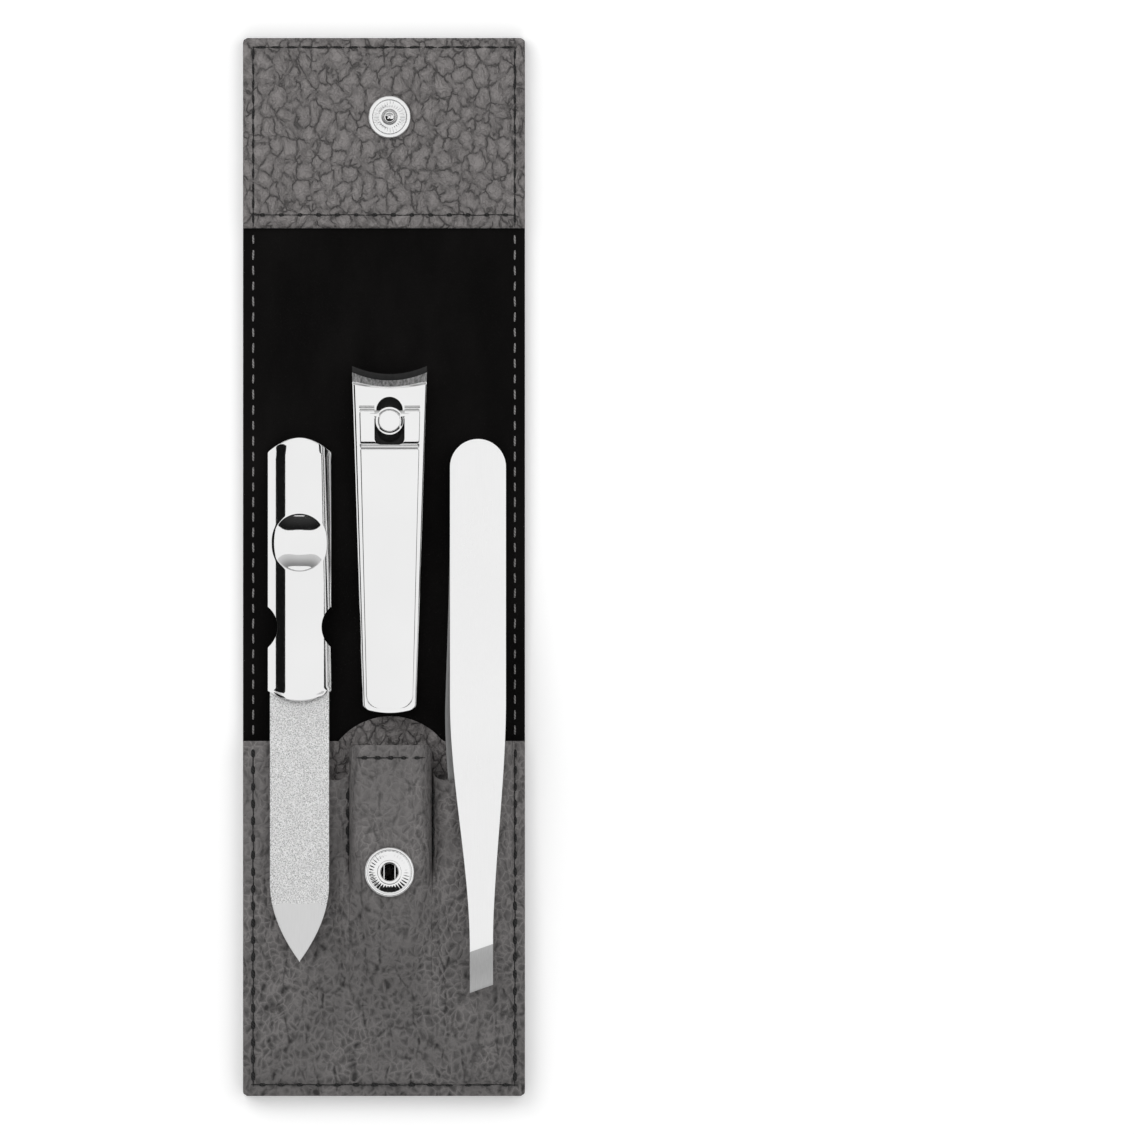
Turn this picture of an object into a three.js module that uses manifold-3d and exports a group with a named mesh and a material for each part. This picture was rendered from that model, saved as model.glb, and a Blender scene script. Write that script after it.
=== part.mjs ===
// A fold-over leather manicure set: a long case that folds at its spine and closes with a snap,
// holding a file, a nail clipper and slanted tweezers. It is drawn open and lying flat.
// Millimetres, +Z up, +Y towards the flap, origin below the middle of the open case.

import * as THREE from 'three';
import { mergeVertices } from 'three/addons/utils/BufferGeometryUtils.js';
import Module from 'manifold-3d';

const wasm = await Module();
wasm.setup();

// Case, from its bottom end to the end of the flap
const caseWidth = 48.6;
const bottomToFold = 103.7;
const foldToFlapEnd = 78.7;
const pocketLength = 61.2;
const facingLength = 32.8;
const cornerRadius = 1.6;
const rootLength = 16.6;

// Layers, from the outside in, and the share of the outer leather at which it folds
const badgeStand = 0.3;
const leatherThickness = 1.2;
const liningThickness = 0.6;
const facingThickness = 1.0;
const dividerThickness = 0.6;
const pocketThickness = 1.1;
const toolClearance = 0.3;
const hingeShare = 0.75;

// Pocket: a narrow middle between two stitched lines, a flat left side and a fuller right side
const seamInset = 1.9;
const middleWidth = 14.3;
const middleOffset = 1.15;
const leftRise = 0.4;
const rightRise = 2.3;
const commonRise = 1.6;
const stitchedLength = 20;
const bottomRoll = 3;
const notchDepth = 6.7;
const leftNotchWidth = 7;
const rightNotchWidth = 6;
const notchRadius = 2;
const tabDrop = 0.7;
const domeHeight = 4.3;
const domeWidth = 17.7;
const domePullShare = 4 / 3;
const domeShoulderShare = 1 / 6;
const middleFullShare = 1.15;
const swellPower = 4;
const clearRiseShare = 0.78;
const reachLimitShare = 0.99;

// Snap fastener
const snapOffset = 0.95;
const snapFromBottom = 38.6;
const socketRadius = 4.4;
const socketHeight = 1.05;
const socketHoleRadius = 1.55;
const socketRimRadius = 1.9;
const springRoomRadius = 2.2;
const socketBandRadius = 3.7;
const socketBandDrop = 0.15;
const socketRimWidth = 0.3;
const lipThickness = 0.28;
const barrelRadius = 1.9;
const barrelBore = 1.45;
const barrelRise = 1.4;
const flangeRadius = 3.4;
const flangeThickness = 0.5;
const flangeClearance = 0.45;
const springRadius = 0.14;
const springSpacing = 1.9;
const springLength = 3;
const springPlay = 0.03;
const snapGap = 0.35;
const studRadius = 3.7;
const studThickness = 0.6;
const studRimHeight = 0.2;
const studRimWidth = 0.7;
const studNeckRadius = 0.5;
const studNeckHeight = 0.65;
const ballRadius = 1.1;
const ballHeight = 1.7;
const postRadius = 0.9;
const postHeadRadius = 3;
const boreClearance = 0.3;

// Badge on the outside of the flap, left plain
const badgeSize = 8.4;
const badgeBorder = 0.8;
const badgeCorner = 0.9;
const badgeOffset = -0.8;
const badgePlateGap = 0.05;

// File, set off from the middle of the left pocket
const fileOffset = -0.37;
const fileBeyondMouth = 52.07;
const fileLength = 90.3;
const handleLength = 43.6;
const handleWidth = 10.9;
const handleRise = 2.2;
const handleThickness = 0.7;
const handleBow = 1.7;
const handleBowLength = 6;
const handleEndShare = 0.75;
const handlePower = 3.5;
const handleEndSag = 2.1;
const handleEndSagLength = 8;
const handleCorner = 0.6;
const waistFromEnd = 32.6;
const waistLength = 7;
const waistDepth = 1.65;
const dimpleFromEnd = 18.1;
const dimpleRadius = 5;
const dimpleDepth = 0.8;
const bladeWidth = 10.2;
const bladeThickness = 0.9;
const bladeRise = 0.35;
const tipLength = 13.5;
const tipPower = 1.95;
const tangLength = 18;
const tangWidth = 6;
const tangShoulder = 0.15;
const tipEndShare = 0.02;

// Nail clipper
const clipperOffset = 0.95;
const clipperBeyondMouth = 64.66;
const clipperLength = 59.8;
const headWidth = 12.9;
const tailWidth = 9.2;
const tailCorner = 1;
const tailBow = 0.5;
const jawThickness = 1.1;
const edgeThickness = 0.35;
const edgeConcavity = 1.4;
const bevelLength = 1.6;
const bandLength = 4.2;
const bandDrop = 0.25;
const jawHook = 0.3;
const tailGap = 0.15;
const jawSpread = 1.65;
const headSpread = 0.3;
const pinFromHead = 9.46;
const rivetFromTail = 4.2;
const rivetRadius = 1.2;
const rivetHeadRadius = 1.8;
const rivetHeadHeight = 0.3;
const rivetHeadGap = 0.15;
const pinRadius = 1.2;
const pinHeadRadius = 1.9;
const pinHeadBevel = 0.14;
const pinFootRadius = 2;
const pinFootHeight = 0.4;
const pinFootRecess = 0.6;
const pinAboveBar = 2;
const pinCheekBelowBar = 1.3;
const barOffset = 1;
const barRadius = 0.8;
const barClearance = 0.3;
const camRadius = 1.5;
const camGap = 0.3;
const leverWidth = 10.5;
const leverThickness = 1.2;
const leverDrop = 1.2;
const leverBevel = 0.35;
const leverBevelShare = 0.3;
const leverTailNarrowing = 2.4;
const leverCorner = 2.2;
const leverTailInset = 0.8;
const leverKneeLength = 5.5;
const windowWidth = 5.2;
const windowFromBar = 5.1;

// Tweezers, set off from the middle of the right pocket
const tweezersOffset = 0.85;
const tweezersBeyondMouth = 52.07;
const tweezersLength = 95.5;
const tweezersWidth = 9.65;
const tweezersTipWidth = 4;
const tweezersTipShift = 0.6;
const armThickness = 1.2;
const tipThickness = 0.65;
const tipThinning = 8;
const tipSlant = 1.4;
const weldLength = 12;
const spreadLength = 55;
const armSpread = 4.4;
const armSettle = 35;
const narrowFrom = 45;
const narrowTo = 88;
const rearArmShift = 1.2;

// Fineness of round shapes
const roundSides = 24;
const smallSides = 8;
const cutOverrun = 1;
const roundEndShare = 0.995;

// Places along the case
const bottomY = -(bottomToFold + foldToFlapEnd) / 2;
const foldY = bottomY + bottomToFold;
const flapEndY = foldY + foldToFlapEnd;
const mouthY = bottomY + pocketLength;
const socketY = bottomY + snapFromBottom;
const studY = 2 * foldY - socketY;
const facingY = flapEndY - facingLength;
const halfWidth = caseWidth / 2;

// Places across the case: its side seams, the middle pocket's two stitched lines and the tools
const seamLow = -halfWidth + seamInset;
const seamHigh = halfWidth - seamInset;
const middleLow = middleOffset - middleWidth / 2;
const middleHigh = middleOffset + middleWidth / 2;
const fileX = (seamLow + middleLow) / 2 + fileOffset;
const tweezersX = (middleHigh + seamHigh) / 2 + tweezersOffset;

// Heights of the layers
const leatherZ = badgeStand;
const liningZ = leatherZ + leatherThickness;
const innerZ = liningZ + liningThickness;
const facingZ = innerZ + facingThickness;
const pocketBaseZ = innerZ + dividerThickness;

// Heights of the clipper, from the jaw that slides in over the divider to the lever's cam
const jawZ = pocketBaseZ + toolClearance;
const upperJawZ = jawZ + jawThickness + tailGap;
const camZ = upperJawZ + jawSpread + jawThickness + camGap + camRadius;
const leverHeelZ = camZ - camRadius;
const leverTailTopZ = leverHeelZ - leverDrop + leverThickness;

// Heights of the snap, which the clipper's lever passes under
const flangeZ = leverTailTopZ + flangeClearance;
const snapSeatZ = flangeZ + flangeThickness;
const socketZ = snapSeatZ + pocketThickness;
const socketTopZ = socketZ + socketHeight;
const middleRise = snapSeatZ - pocketBaseZ;
const studTopZ = facingZ + studThickness;

// The spine folds at three lines, 60 degrees at each, and stands as high as the closed snap
const foldAngle = Math.PI / 3;
const hingeZ = leatherZ + leatherThickness * hingeShare;
const closedRise = socketTopZ + snapGap + studTopZ - 2 * hingeZ;
const spineLength = closedRise / 2 / Math.sin(foldAngle);
const lowerFoldY = foldY - spineLength;
const upperFoldY = foldY + spineLength;
const rootEndY = upperFoldY + rootLength;

const leatherPaint = new THREE.MeshStandardMaterial({ color: '#5b5654', roughness: 0.62 });
const suedePaint = new THREE.MeshStandardMaterial({ color: '#1d1b1c', roughness: 0.95 });
const chromePaint = new THREE.MeshStandardMaterial({ color: '#d4d6d8', roughness: 0.12, metalness: 1 });
const steelPaint = new THREE.MeshStandardMaterial({ color: '#b4b6b8', roughness: 0.32, metalness: 1 });
const gritPaint = new THREE.MeshStandardMaterial({ color: '#8e8f90', roughness: 0.8, metalness: 0.6 });
const blackPaint = new THREE.MeshStandardMaterial({ color: '#151516', roughness: 0.35 });

const set = new THREE.Group();

function clamp(value, low, high) {
  return Math.min(Math.max(value, low), high);
}

function smooth(share) {
  const t = clamp(share, 0, 1);
  return t * t * (3 - 2 * t);
}

function steps(from, to, count) {
  return Array.from({ length: count + 1 }, (_, i) => from + ((to - from) * i) / count);
}

// Merges a geometry's vertices, drops its empty triangles and turns its faces outwards.
function closed(geometry) {
  const bare = geometry.clone();
  bare.deleteAttribute('normal');
  bare.deleteAttribute('uv');
  const merged = mergeVertices(bare);
  const place = merged.getAttribute('position');
  const faces = [];
  let volume = 0;
  for (let f = 0; f < merged.index.count; f += 3) {
    const corners = [0, 1, 2].map((k) => merged.index.getX(f + k));
    if (new Set(corners).size === 3) {
      faces.push(corners);
      const [a, b, c] = corners.map((k) => new THREE.Vector3().fromBufferAttribute(place, k));
      volume += a.dot(b.cross(c));
    }
  }
  const outward = volume > 0 ? faces : faces.map(([a, b, c]) => [a, c, b]);
  merged.setIndex(outward.flat());
  merged.computeVertexNormals();
  return merged;
}

function toSolid(geometry) {
  const ready = closed(geometry);
  return new wasm.Manifold(
    new wasm.Mesh({
      numProp: 3,
      vertProperties: new Float32Array(ready.getAttribute('position').array),
      triVerts: new Uint32Array(ready.index.array),
    }),
  );
}

function toGeometry(solid) {
  const mesh = solid.getMesh();
  const geometry = new THREE.BufferGeometry();
  geometry.setAttribute('position', new THREE.BufferAttribute(mesh.vertProperties.slice(), 3));
  geometry.setIndex(Array.from(mesh.triVerts));
  geometry.computeVertexNormals();
  return geometry;
}

function cut(geometry, ...tools) {
  const solid = tools.reduce((left, tool) => left.subtract(toSolid(tool)), toSolid(geometry));
  return toGeometry(solid);
}

function join(...geometries) {
  const [first, ...others] = geometries.map(toSolid);
  return toGeometry(others.reduce((left, other) => left.add(other), first));
}

function add(name, geometry, paint, group = set) {
  const mesh = new THREE.Mesh(closed(geometry), paint);
  mesh.name = name;
  group.add(mesh);
  return mesh;
}

// An upright post or hole of one radius
function round(radius, lowZ, highZ, x, y, sides = roundSides) {
  const geometry = new THREE.CylinderGeometry(radius, radius, highZ - lowZ, sides);
  geometry.rotateX(Math.PI / 2);
  geometry.translate(x, y, (lowZ + highZ) / 2);
  return geometry;
}

function block(lowX, highX, lowY, highY, lowZ, highZ) {
  const geometry = new THREE.BoxGeometry(highX - lowX, highY - lowY, highZ - lowZ);
  geometry.translate((lowX + highX) / 2, (lowY + highY) / 2, (lowZ + highZ) / 2);
  return geometry;
}

// A flat outline raised from one height to another
function plate(shape, lowZ, highZ) {
  const geometry = new THREE.ExtrudeGeometry(shape, {
    depth: highZ - lowZ,
    bevelEnabled: false,
    curveSegments: smallSides,
  });
  geometry.translate(0, 0, lowZ);
  return geometry;
}

// A turned profile, given as radius and height, standing at x and y
function turned(profile, x, y, sides = roundSides) {
  const geometry = new THREE.LatheGeometry(profile.map(([r, z]) => new THREE.Vector2(r, z)), sides);
  geometry.rotateX(Math.PI / 2);
  geometry.translate(x, y, 0);
  return geometry;
}

// A rectangle with its corners rounded by one radius at the low end and one at the high end
function panel(lowX, highX, lowY, highY, lowRadius, highRadius) {
  const shape = new THREE.Shape();
  const quarter = Math.PI / 2;
  shape.moveTo(lowX + lowRadius, lowY);
  shape.lineTo(highX - lowRadius, lowY);
  if (lowRadius > 0) shape.absarc(highX - lowRadius, lowY + lowRadius, lowRadius, -quarter, 0);
  shape.lineTo(highX, highY - highRadius);
  if (highRadius > 0) shape.absarc(highX - highRadius, highY - highRadius, highRadius, 0, quarter);
  shape.lineTo(lowX + highRadius, highY);
  if (highRadius > 0) {
    shape.absarc(lowX + highRadius, highY - highRadius, highRadius, quarter, 2 * quarter);
  }
  shape.lineTo(lowX, lowY + lowRadius);
  if (lowRadius > 0) {
    shape.absarc(lowX + lowRadius, lowY + lowRadius, lowRadius, 2 * quarter, 3 * quarter);
  }
  return shape;
}

// A closed slab between two surfaces. Rows run along y and columns from side to side;
// side runs from -1 at the low x edge to 1 at the high x edge.
function strip({ rows, columns, edges, low, high, slide = () => 0 }) {
  const sides = steps(-1, 1, columns);
  const points = [];
  for (const surface of [low, high]) {
    for (const y of rows) {
      const [left, right] = edges(y);
      for (const side of sides) {
        const x = left + ((right - left) * (side + 1)) / 2;
        points.push(x, y + slide(y, side), surface(y, side, x));
      }
    }
  }
  const perRow = columns + 1;
  const layer = perRow * rows.length;
  const faces = [];
  const quad = (a, b, c, d) => faces.push(a, b, c, a, c, d);
  for (let j = 0; j + 1 < rows.length; j += 1) {
    for (let i = 0; i < columns; i += 1) {
      const a = j * perRow + i;
      const b = a + perRow;
      quad(layer + a, layer + a + 1, layer + b + 1, layer + b);
      quad(a, b, b + 1, a + 1);
    }
    const left = j * perRow;
    const right = left + columns;
    quad(left, layer + left, layer + left + perRow, left + perRow);
    quad(right, right + perRow, layer + right + perRow, layer + right);
  }
  const lastRow = perRow * (rows.length - 1);
  for (let i = 0; i < columns; i += 1) {
    quad(i, i + 1, layer + i + 1, layer + i);
    quad(lastRow + i, layer + lastRow + i, layer + lastRow + i + 1, lastRow + i + 1);
  }
  const geometry = new THREE.BufferGeometry();
  geometry.setAttribute('position', new THREE.Float32BufferAttribute(points, 3));
  geometry.setIndex(faces);
  return geometry;
}

// Half the width of a bar with a round end, at a distance from that end
function roundedHalf(half, distance) {
  const inside = clamp(1 - distance / half, 0, roundEndShare);
  return half * Math.sqrt(1 - inside * inside);
}

// Half the width of a bar whose end has rounded corners, at a distance from that end
function bluntHalf(half, distance, corner) {
  return distance < corner ? half - corner + roundedHalf(corner, distance) : half;
}

// Rows that crowd towards a round end
function endRows(from, to, count) {
  return steps(0, Math.PI / 2, count).map((angle) => to - (to - from) * Math.cos(angle));
}

// Outer leather and lining in four stretches: case, two halves of the spine, and flap
const stretches = [
  ['back', bottomY, lowerFoldY, cornerRadius, 0],
  ['spine_lower', lowerFoldY, foldY, 0, 0],
  ['spine_upper', foldY, upperFoldY, 0, 0],
  ['flap_root', upperFoldY, rootEndY, 0, 0],
  ['flap', rootEndY, flapEndY, 0, cornerRadius],
];
for (const [name, lowY, highY, lowRadius, highRadius] of stretches) {
  const shape = panel(-halfWidth, halfWidth, lowY, highY, lowRadius, highRadius);
  add(`${name}_leather`, plate(shape, leatherZ, liningZ), leatherPaint);
  const lining = shape.clone();
  if (name === 'flap') {
    const hole = new THREE.Path();
    hole.absarc(snapOffset, studY, postHeadRadius + boreClearance, 0, 2 * Math.PI, true);
    lining.holes.push(hole);
  }
  add(`${name}_lining`, plate(lining, liningZ, innerZ), suedePaint);
}

// Facing of the flap, with the stud's hole
const facing = panel(-halfWidth, halfWidth, facingY, flapEndY, 0, cornerRadius);
const facingHole = new THREE.Path();
facingHole.absarc(snapOffset, studY, postRadius + boreClearance, 0, 2 * Math.PI, true);
facing.holes.push(facingHole);
add('flap_facing', plate(facing, innerZ, facingZ), leatherPaint);

// Stud, with a hollow rimmed disc and a ball, and the rivet that holds it through the facing
const ballZ = studTopZ + studNeckHeight + ballHeight / 2;
const ballPoints = steps(-Math.PI / 2, Math.PI / 2, smallSides)
  .map((angle) => [ballRadius * Math.cos(angle), ballZ + (ballHeight / 2) * Math.sin(angle)])
  .filter(([r, z]) => r > studNeckRadius || z > ballZ);
const studFloorZ = studTopZ - studRimHeight;
add(
  'snap_stud',
  turned(
    [
      [0, facingZ],
      [studRadius - studRimWidth / 2, facingZ],
      [studRadius, facingZ + studThickness / 2],
      [studRadius - studRimWidth / 2, studTopZ],
      [studRadius - studRimWidth, studFloorZ],
      [studNeckRadius, studFloorZ],
      ...ballPoints.slice(0, -1),
      [0, ballZ + ballHeight / 2],
    ],
    snapOffset,
    studY,
  ),
  chromePaint,
);
add(
  'snap_stud_post',
  turned(
    [
      [0, liningZ],
      [postHeadRadius, liningZ],
      [postHeadRadius, innerZ],
      [postRadius, innerZ],
      [postRadius, facingZ],
      [0, facingZ],
    ],
    snapOffset,
    studY,
  ),
  steelPaint,
);

// Badge: a plain frame round a plain plate, on the outside of the flap
function badgeShape(size, radius) {
  const half = size / 2;
  return panel(badgeOffset - half, badgeOffset + half, studY - half, studY + half, radius, radius);
}
const badgeInner = badgeSize - 2 * badgeBorder;
const badgeFrame = badgeShape(badgeSize, badgeCorner);
badgeFrame.holes.push(badgeShape(badgeInner, badgeCorner / 2));
add('badge_frame', plate(badgeFrame, 0, leatherZ), chromePaint);
const badgePlate = badgeShape(badgeInner - 2 * badgePlateGap, badgeCorner / 2);
add('badge_plate', plate(badgePlate, badgePlateGap, leatherZ), blackPaint);

// Divider at the back of the pocket, with a low dome behind the clipper
const divider = new THREE.Shape();
const domeLow = middleOffset - domeWidth / 2;
const domeHigh = middleOffset + domeWidth / 2;
divider.moveTo(-halfWidth + cornerRadius, bottomY);
divider.lineTo(halfWidth - cornerRadius, bottomY);
divider.absarc(halfWidth - cornerRadius, bottomY + cornerRadius, cornerRadius, -Math.PI / 2, 0);
divider.lineTo(halfWidth, mouthY);
divider.lineTo(domeHigh, mouthY);
divider.bezierCurveTo(
  domeHigh - domeWidth * domeShoulderShare,
  mouthY + domeHeight * domePullShare,
  domeLow + domeWidth * domeShoulderShare,
  mouthY + domeHeight * domePullShare,
  domeLow,
  mouthY,
);
divider.lineTo(-halfWidth, mouthY);
divider.lineTo(-halfWidth, bottomY + cornerRadius);
divider.absarc(
  -halfWidth + cornerRadius,
  bottomY + cornerRadius,
  cornerRadius,
  Math.PI,
  1.5 * Math.PI,
);
add('pocket_divider', plate(divider, innerZ, pocketBaseZ), leatherPaint);

// Pocket front: one sheet that rises off the divider in three compartments
const seamY = bottomY + seamInset;
const stitchEndY = mouthY - stitchedLength;

function swell(x, low, high, power = swellPower) {
  const u = clamp(Math.abs(2 * x - low - high) / (high - low), 0, 1);
  return Math.sqrt(1 - u ** power);
}

// The right pocket swells out over the whole width of the tweezers, so it gets boxier as they fill it
const reachShare = Math.min(tweezersWidth / (seamHigh - middleHigh), reachLimitShare);
const rightPower = Math.max(swellPower, Math.log(1 - clearRiseShare ** 2) / Math.log(reachShare));

function rollUp(y, length) {
  const t = clamp(1 - (y - seamY) / length, 0, 1);
  return y <= seamY ? 0 : Math.sqrt(1 - t * t);
}

function pocketRise(x, y) {
  const fade = smooth((y - seamY) / (socketY - socketRadius - cutOverrun - seamY));
  const middle = Math.min(middleRise, middleFullShare * middleRise * swell(x, middleLow, middleHigh)) * fade;
  const left = leftRise * swell(x, seamLow, middleLow) * rollUp(y, bottomRoll);
  const right = rightRise * swell(x, middleHigh, seamHigh, rightPower) * rollUp(y, bottomRoll);
  const free = smooth((stitchEndY - y) / stitchedLength);
  const common = commonRise * free * swell(x, seamLow, seamHigh) * rollUp(y, bottomRoll);
  return Math.max(middle, left, right, Math.min(common, left + right + middle + leftRise * free));
}

const pocketRows = [
  bottomY,
  bottomY + cornerRadius,
  seamY,
  ...endRows(seamY, seamY + bottomRoll, 4).slice(1),
  ...steps(seamY + bottomRoll, mouthY, 13).slice(1),
];
const pocketSheet = strip({
  rows: pocketRows,
  columns: 40,
  edges: (y) => {
    const inset = cornerRadius - roundedHalf(cornerRadius, y - bottomY);
    const half = halfWidth - (y < bottomY + cornerRadius ? inset : 0);
    return [-half, half];
  },
  low: (y, side, x) => pocketBaseZ + pocketRise(x, y),
  high: (y, side, x) => pocketBaseZ + pocketThickness + pocketRise(x, y),
});
const overMouthY = mouthY + cutOverrun;
const underZ = pocketBaseZ - cutOverrun;
const overZ = socketZ + cutOverrun;
function notch(lowX, highX) {
  return plate(panel(lowX, highX, mouthY - notchDepth, overMouthY, notchRadius, 0), underZ, overZ);
}
add(
  'pocket_front',
  cut(
    pocketSheet,
    notch(middleLow - leftNotchWidth, middleLow),
    notch(middleHigh, middleHigh + rightNotchWidth),
    block(middleLow - cutOverrun, middleHigh + cutOverrun, mouthY - tabDrop, overMouthY, underZ, overZ),
    round(barrelRadius + boreClearance, underZ, overZ, snapOffset, socketY),
  ),
  leatherPaint,
);

// Socket on the pocket front, its flanged barrel from behind, and the two spring wires inside
const springRoomZ = socketTopZ - lipThickness;
add(
  'snap_socket',
  turned(
    [
      [springRoomRadius, socketZ],
      [socketRadius, socketZ],
      [socketRadius, socketTopZ - socketRimWidth],
      [socketRadius - socketRimWidth, socketTopZ],
      [socketRadius - 2 * socketRimWidth, socketTopZ],
      [socketBandRadius, socketTopZ - socketBandDrop],
      [socketRimRadius + socketRimWidth, socketTopZ - socketBandDrop],
      [socketRimRadius, socketTopZ],
      [socketHoleRadius, socketTopZ],
      [socketHoleRadius, springRoomZ],
      [springRoomRadius, springRoomZ],
      [springRoomRadius, socketZ],
    ],
    snapOffset,
    socketY,
  ),
  chromePaint,
);
add(
  'snap_socket_base',
  turned(
    [
      [barrelBore, flangeZ],
      [flangeRadius, flangeZ],
      [flangeRadius, snapSeatZ],
      [barrelRadius, snapSeatZ],
      [barrelRadius, snapSeatZ + barrelRise],
      [barrelBore, snapSeatZ + barrelRise],
      [barrelBore, flangeZ],
    ],
    snapOffset,
    socketY,
  ),
  steelPaint,
);
for (const [side, name] of [[-1, 'snap_spring_left'], [1, 'snap_spring_right']]) {
  const wire = new THREE.CylinderGeometry(springRadius, springRadius, springLength, smallSides);
  const x = snapOffset + (side * springSpacing) / 2;
  wire.translate(x, socketY, springRoomZ - springPlay - springRadius);
  add(name, wire, chromePaint);
}

// File, lying on the lining and across the pocket front, so its group is tilted
const pocketLeftTopZ = pocketBaseZ + leftRise + pocketThickness;
const fileGroup = new THREE.Group();
fileGroup.position.set(fileX, mouthY + fileBeyondMouth, innerZ + toolClearance);
fileGroup.rotation.x = -Math.asin((pocketLeftTopZ - innerZ) / fileBeyondMouth);
set.add(fileGroup);

function handleHalf(y) {
  const fromWaist = Math.abs(-y - waistFromEnd) / (waistLength / 2);
  return bluntHalf(handleWidth / 2, -y, handleCorner) - waistDepth * (1 - smooth(fromWaist));
}

function handleSag(y, x) {
  const away = Math.hypot(x, y + dimpleFromEnd) / dimpleRadius;
  return away < 1 ? dimpleDepth * (1 - away * away) : 0;
}

function handleArch(y, side, x) {
  const crown = Math.sqrt(1 - Math.abs(side) ** handlePower) * smooth(handleEndShare - y / handleWidth);
  return handleRise * crown - Math.min(handleSag(y, x), handleRise * crown);
}

add(
  'file_handle',
  strip({
    rows: [
      ...steps(-handleLength, -handleEndSagLength, 21),
      ...steps(-handleEndSagLength, -handleCorner, 4).slice(1),
      ...endRows(0, -handleCorner, 3).reverse().slice(1),
    ],
    columns: 10,
    edges: (y) => [-handleHalf(y), handleHalf(y)],
    low: handleArch,
    high: (y, side, x) => handleArch(y, side, x) + handleThickness,
    slide: (y, side) => {
      const nearEnd = smooth((handleBowLength - handleLength - y) / handleBowLength);
      const nearTop = smooth(1 + y / handleEndSagLength);
      return -handleBow * (1 - side * side) * nearEnd - handleEndSag * side * side * nearTop;
    },
  }),
  chromePaint,
  fileGroup,
);

const bladeTopY = -handleLength - handleBow - toolClearance;
function bladeHalf(y) {
  if (y > bladeTopY) return tangWidth / 2;
  const fromTip = (y + fileLength) / tipLength;
  return (bladeWidth / 2) * Math.max(1 - (1 - clamp(fromTip, 0, 1)) ** tipPower, tipEndShare);
}
add(
  'file_blade',
  strip({
    rows: [
      ...endRows(-fileLength, -fileLength + tipLength, 10),
      ...steps(-fileLength + tipLength, bladeTopY, 4).slice(1),
      bladeTopY + tangShoulder,
      -handleLength + tangLength,
    ],
    columns: 4,
    edges: (y) => [-bladeHalf(y), bladeHalf(y)],
    low: () => bladeRise,
    high: () => bladeRise + bladeThickness,
  }),
  gritPaint,
  fileGroup,
);

// Nail clipper: two jaws riveted at the tail, a pin near the head and a lever on the pin
const headY = mouthY + clipperBeyondMouth;
const tailY = headY - clipperLength;
const pinY = headY - pinFromHead;
const rivetY = tailY + rivetFromTail;

function jawHalf(y) {
  const along = (y - tailY) / clipperLength;
  return bluntHalf((tailWidth + (headWidth - tailWidth) * along) / 2, y - tailY, tailCorner);
}

const jawShape = {
  rows: [
    ...endRows(tailY, tailY + tailCorner, 4),
    ...steps(tailY + tailCorner, headY - bandLength, 9).slice(1),
    headY - bandLength / 2,
    headY - bevelLength,
    headY,
  ],
  columns: 8,
  edges: (y) => [clipperOffset - jawHalf(y), clipperOffset + jawHalf(y)],
  slide: (y, side) => {
    const atHead = edgeConcavity * (1 - side * side) * smooth(1 - (headY - y) / bandLength);
    return tailBow * side * side * smooth(1 - (y - tailY) / tailWidth) - atHead;
  },
};

// How far a jaw's outer face has dropped towards its cutting edge
function jawGrind(y) {
  const band = bandDrop * smooth(1 - (headY - y) / bandLength);
  const bevel = (jawThickness - edgeThickness - bandDrop) * clamp(1 - (headY - y) / bevelLength, 0, 1);
  return band + bevel;
}

function jawBend(y) {
  return jawHook * smooth(1 - (headY - y) / (2 * bandLength));
}

function upperJawLow(y) {
  const rise = jawSpread * smooth((y - tailY - rivetFromTail / 2) / (pinY - tailY));
  return upperJawZ + rise + headSpread * smooth((y - pinY) / pinFromHead);
}

add(
  'clipper_lower_jaw',
  cut(
    strip({
      ...jawShape,
      low: (y) => jawZ + jawBend(y) + jawGrind(y),
      high: (y) => jawZ + jawThickness + jawBend(y),
    }),
    round(pinRadius + boreClearance, jawZ - cutOverrun, upperJawZ + cutOverrun, clipperOffset, pinY),
    round(pinFootRadius + boreClearance, jawZ - cutOverrun, jawZ + pinFootRecess, clipperOffset, pinY),
    round(rivetRadius + boreClearance, jawZ - cutOverrun, upperJawZ + cutOverrun, clipperOffset, rivetY),
  ),
  steelPaint,
);
add(
  'clipper_upper_jaw',
  cut(
    strip({
      ...jawShape,
      low: upperJawLow,
      high: (y) => upperJawLow(y) + jawThickness - jawGrind(y),
    }),
    round(pinRadius + boreClearance, jawZ, camZ, clipperOffset, pinY),
    round(rivetRadius + boreClearance, jawZ, camZ, clipperOffset, rivetY),
  ),
  steelPaint,
);
const rivetHeadZ = upperJawLow(rivetY + rivetHeadRadius) + jawThickness + rivetHeadGap;
add(
  'clipper_tail_rivet',
  turned(
    [
      [0, jawZ],
      [rivetRadius, jawZ],
      [rivetRadius, rivetHeadZ],
      [rivetHeadRadius, rivetHeadZ],
      [rivetRadius, rivetHeadZ + rivetHeadHeight],
      [0, rivetHeadZ + rivetHeadHeight],
    ],
    clipperOffset,
    rivetY,
  ),
  steelPaint,
);

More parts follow.
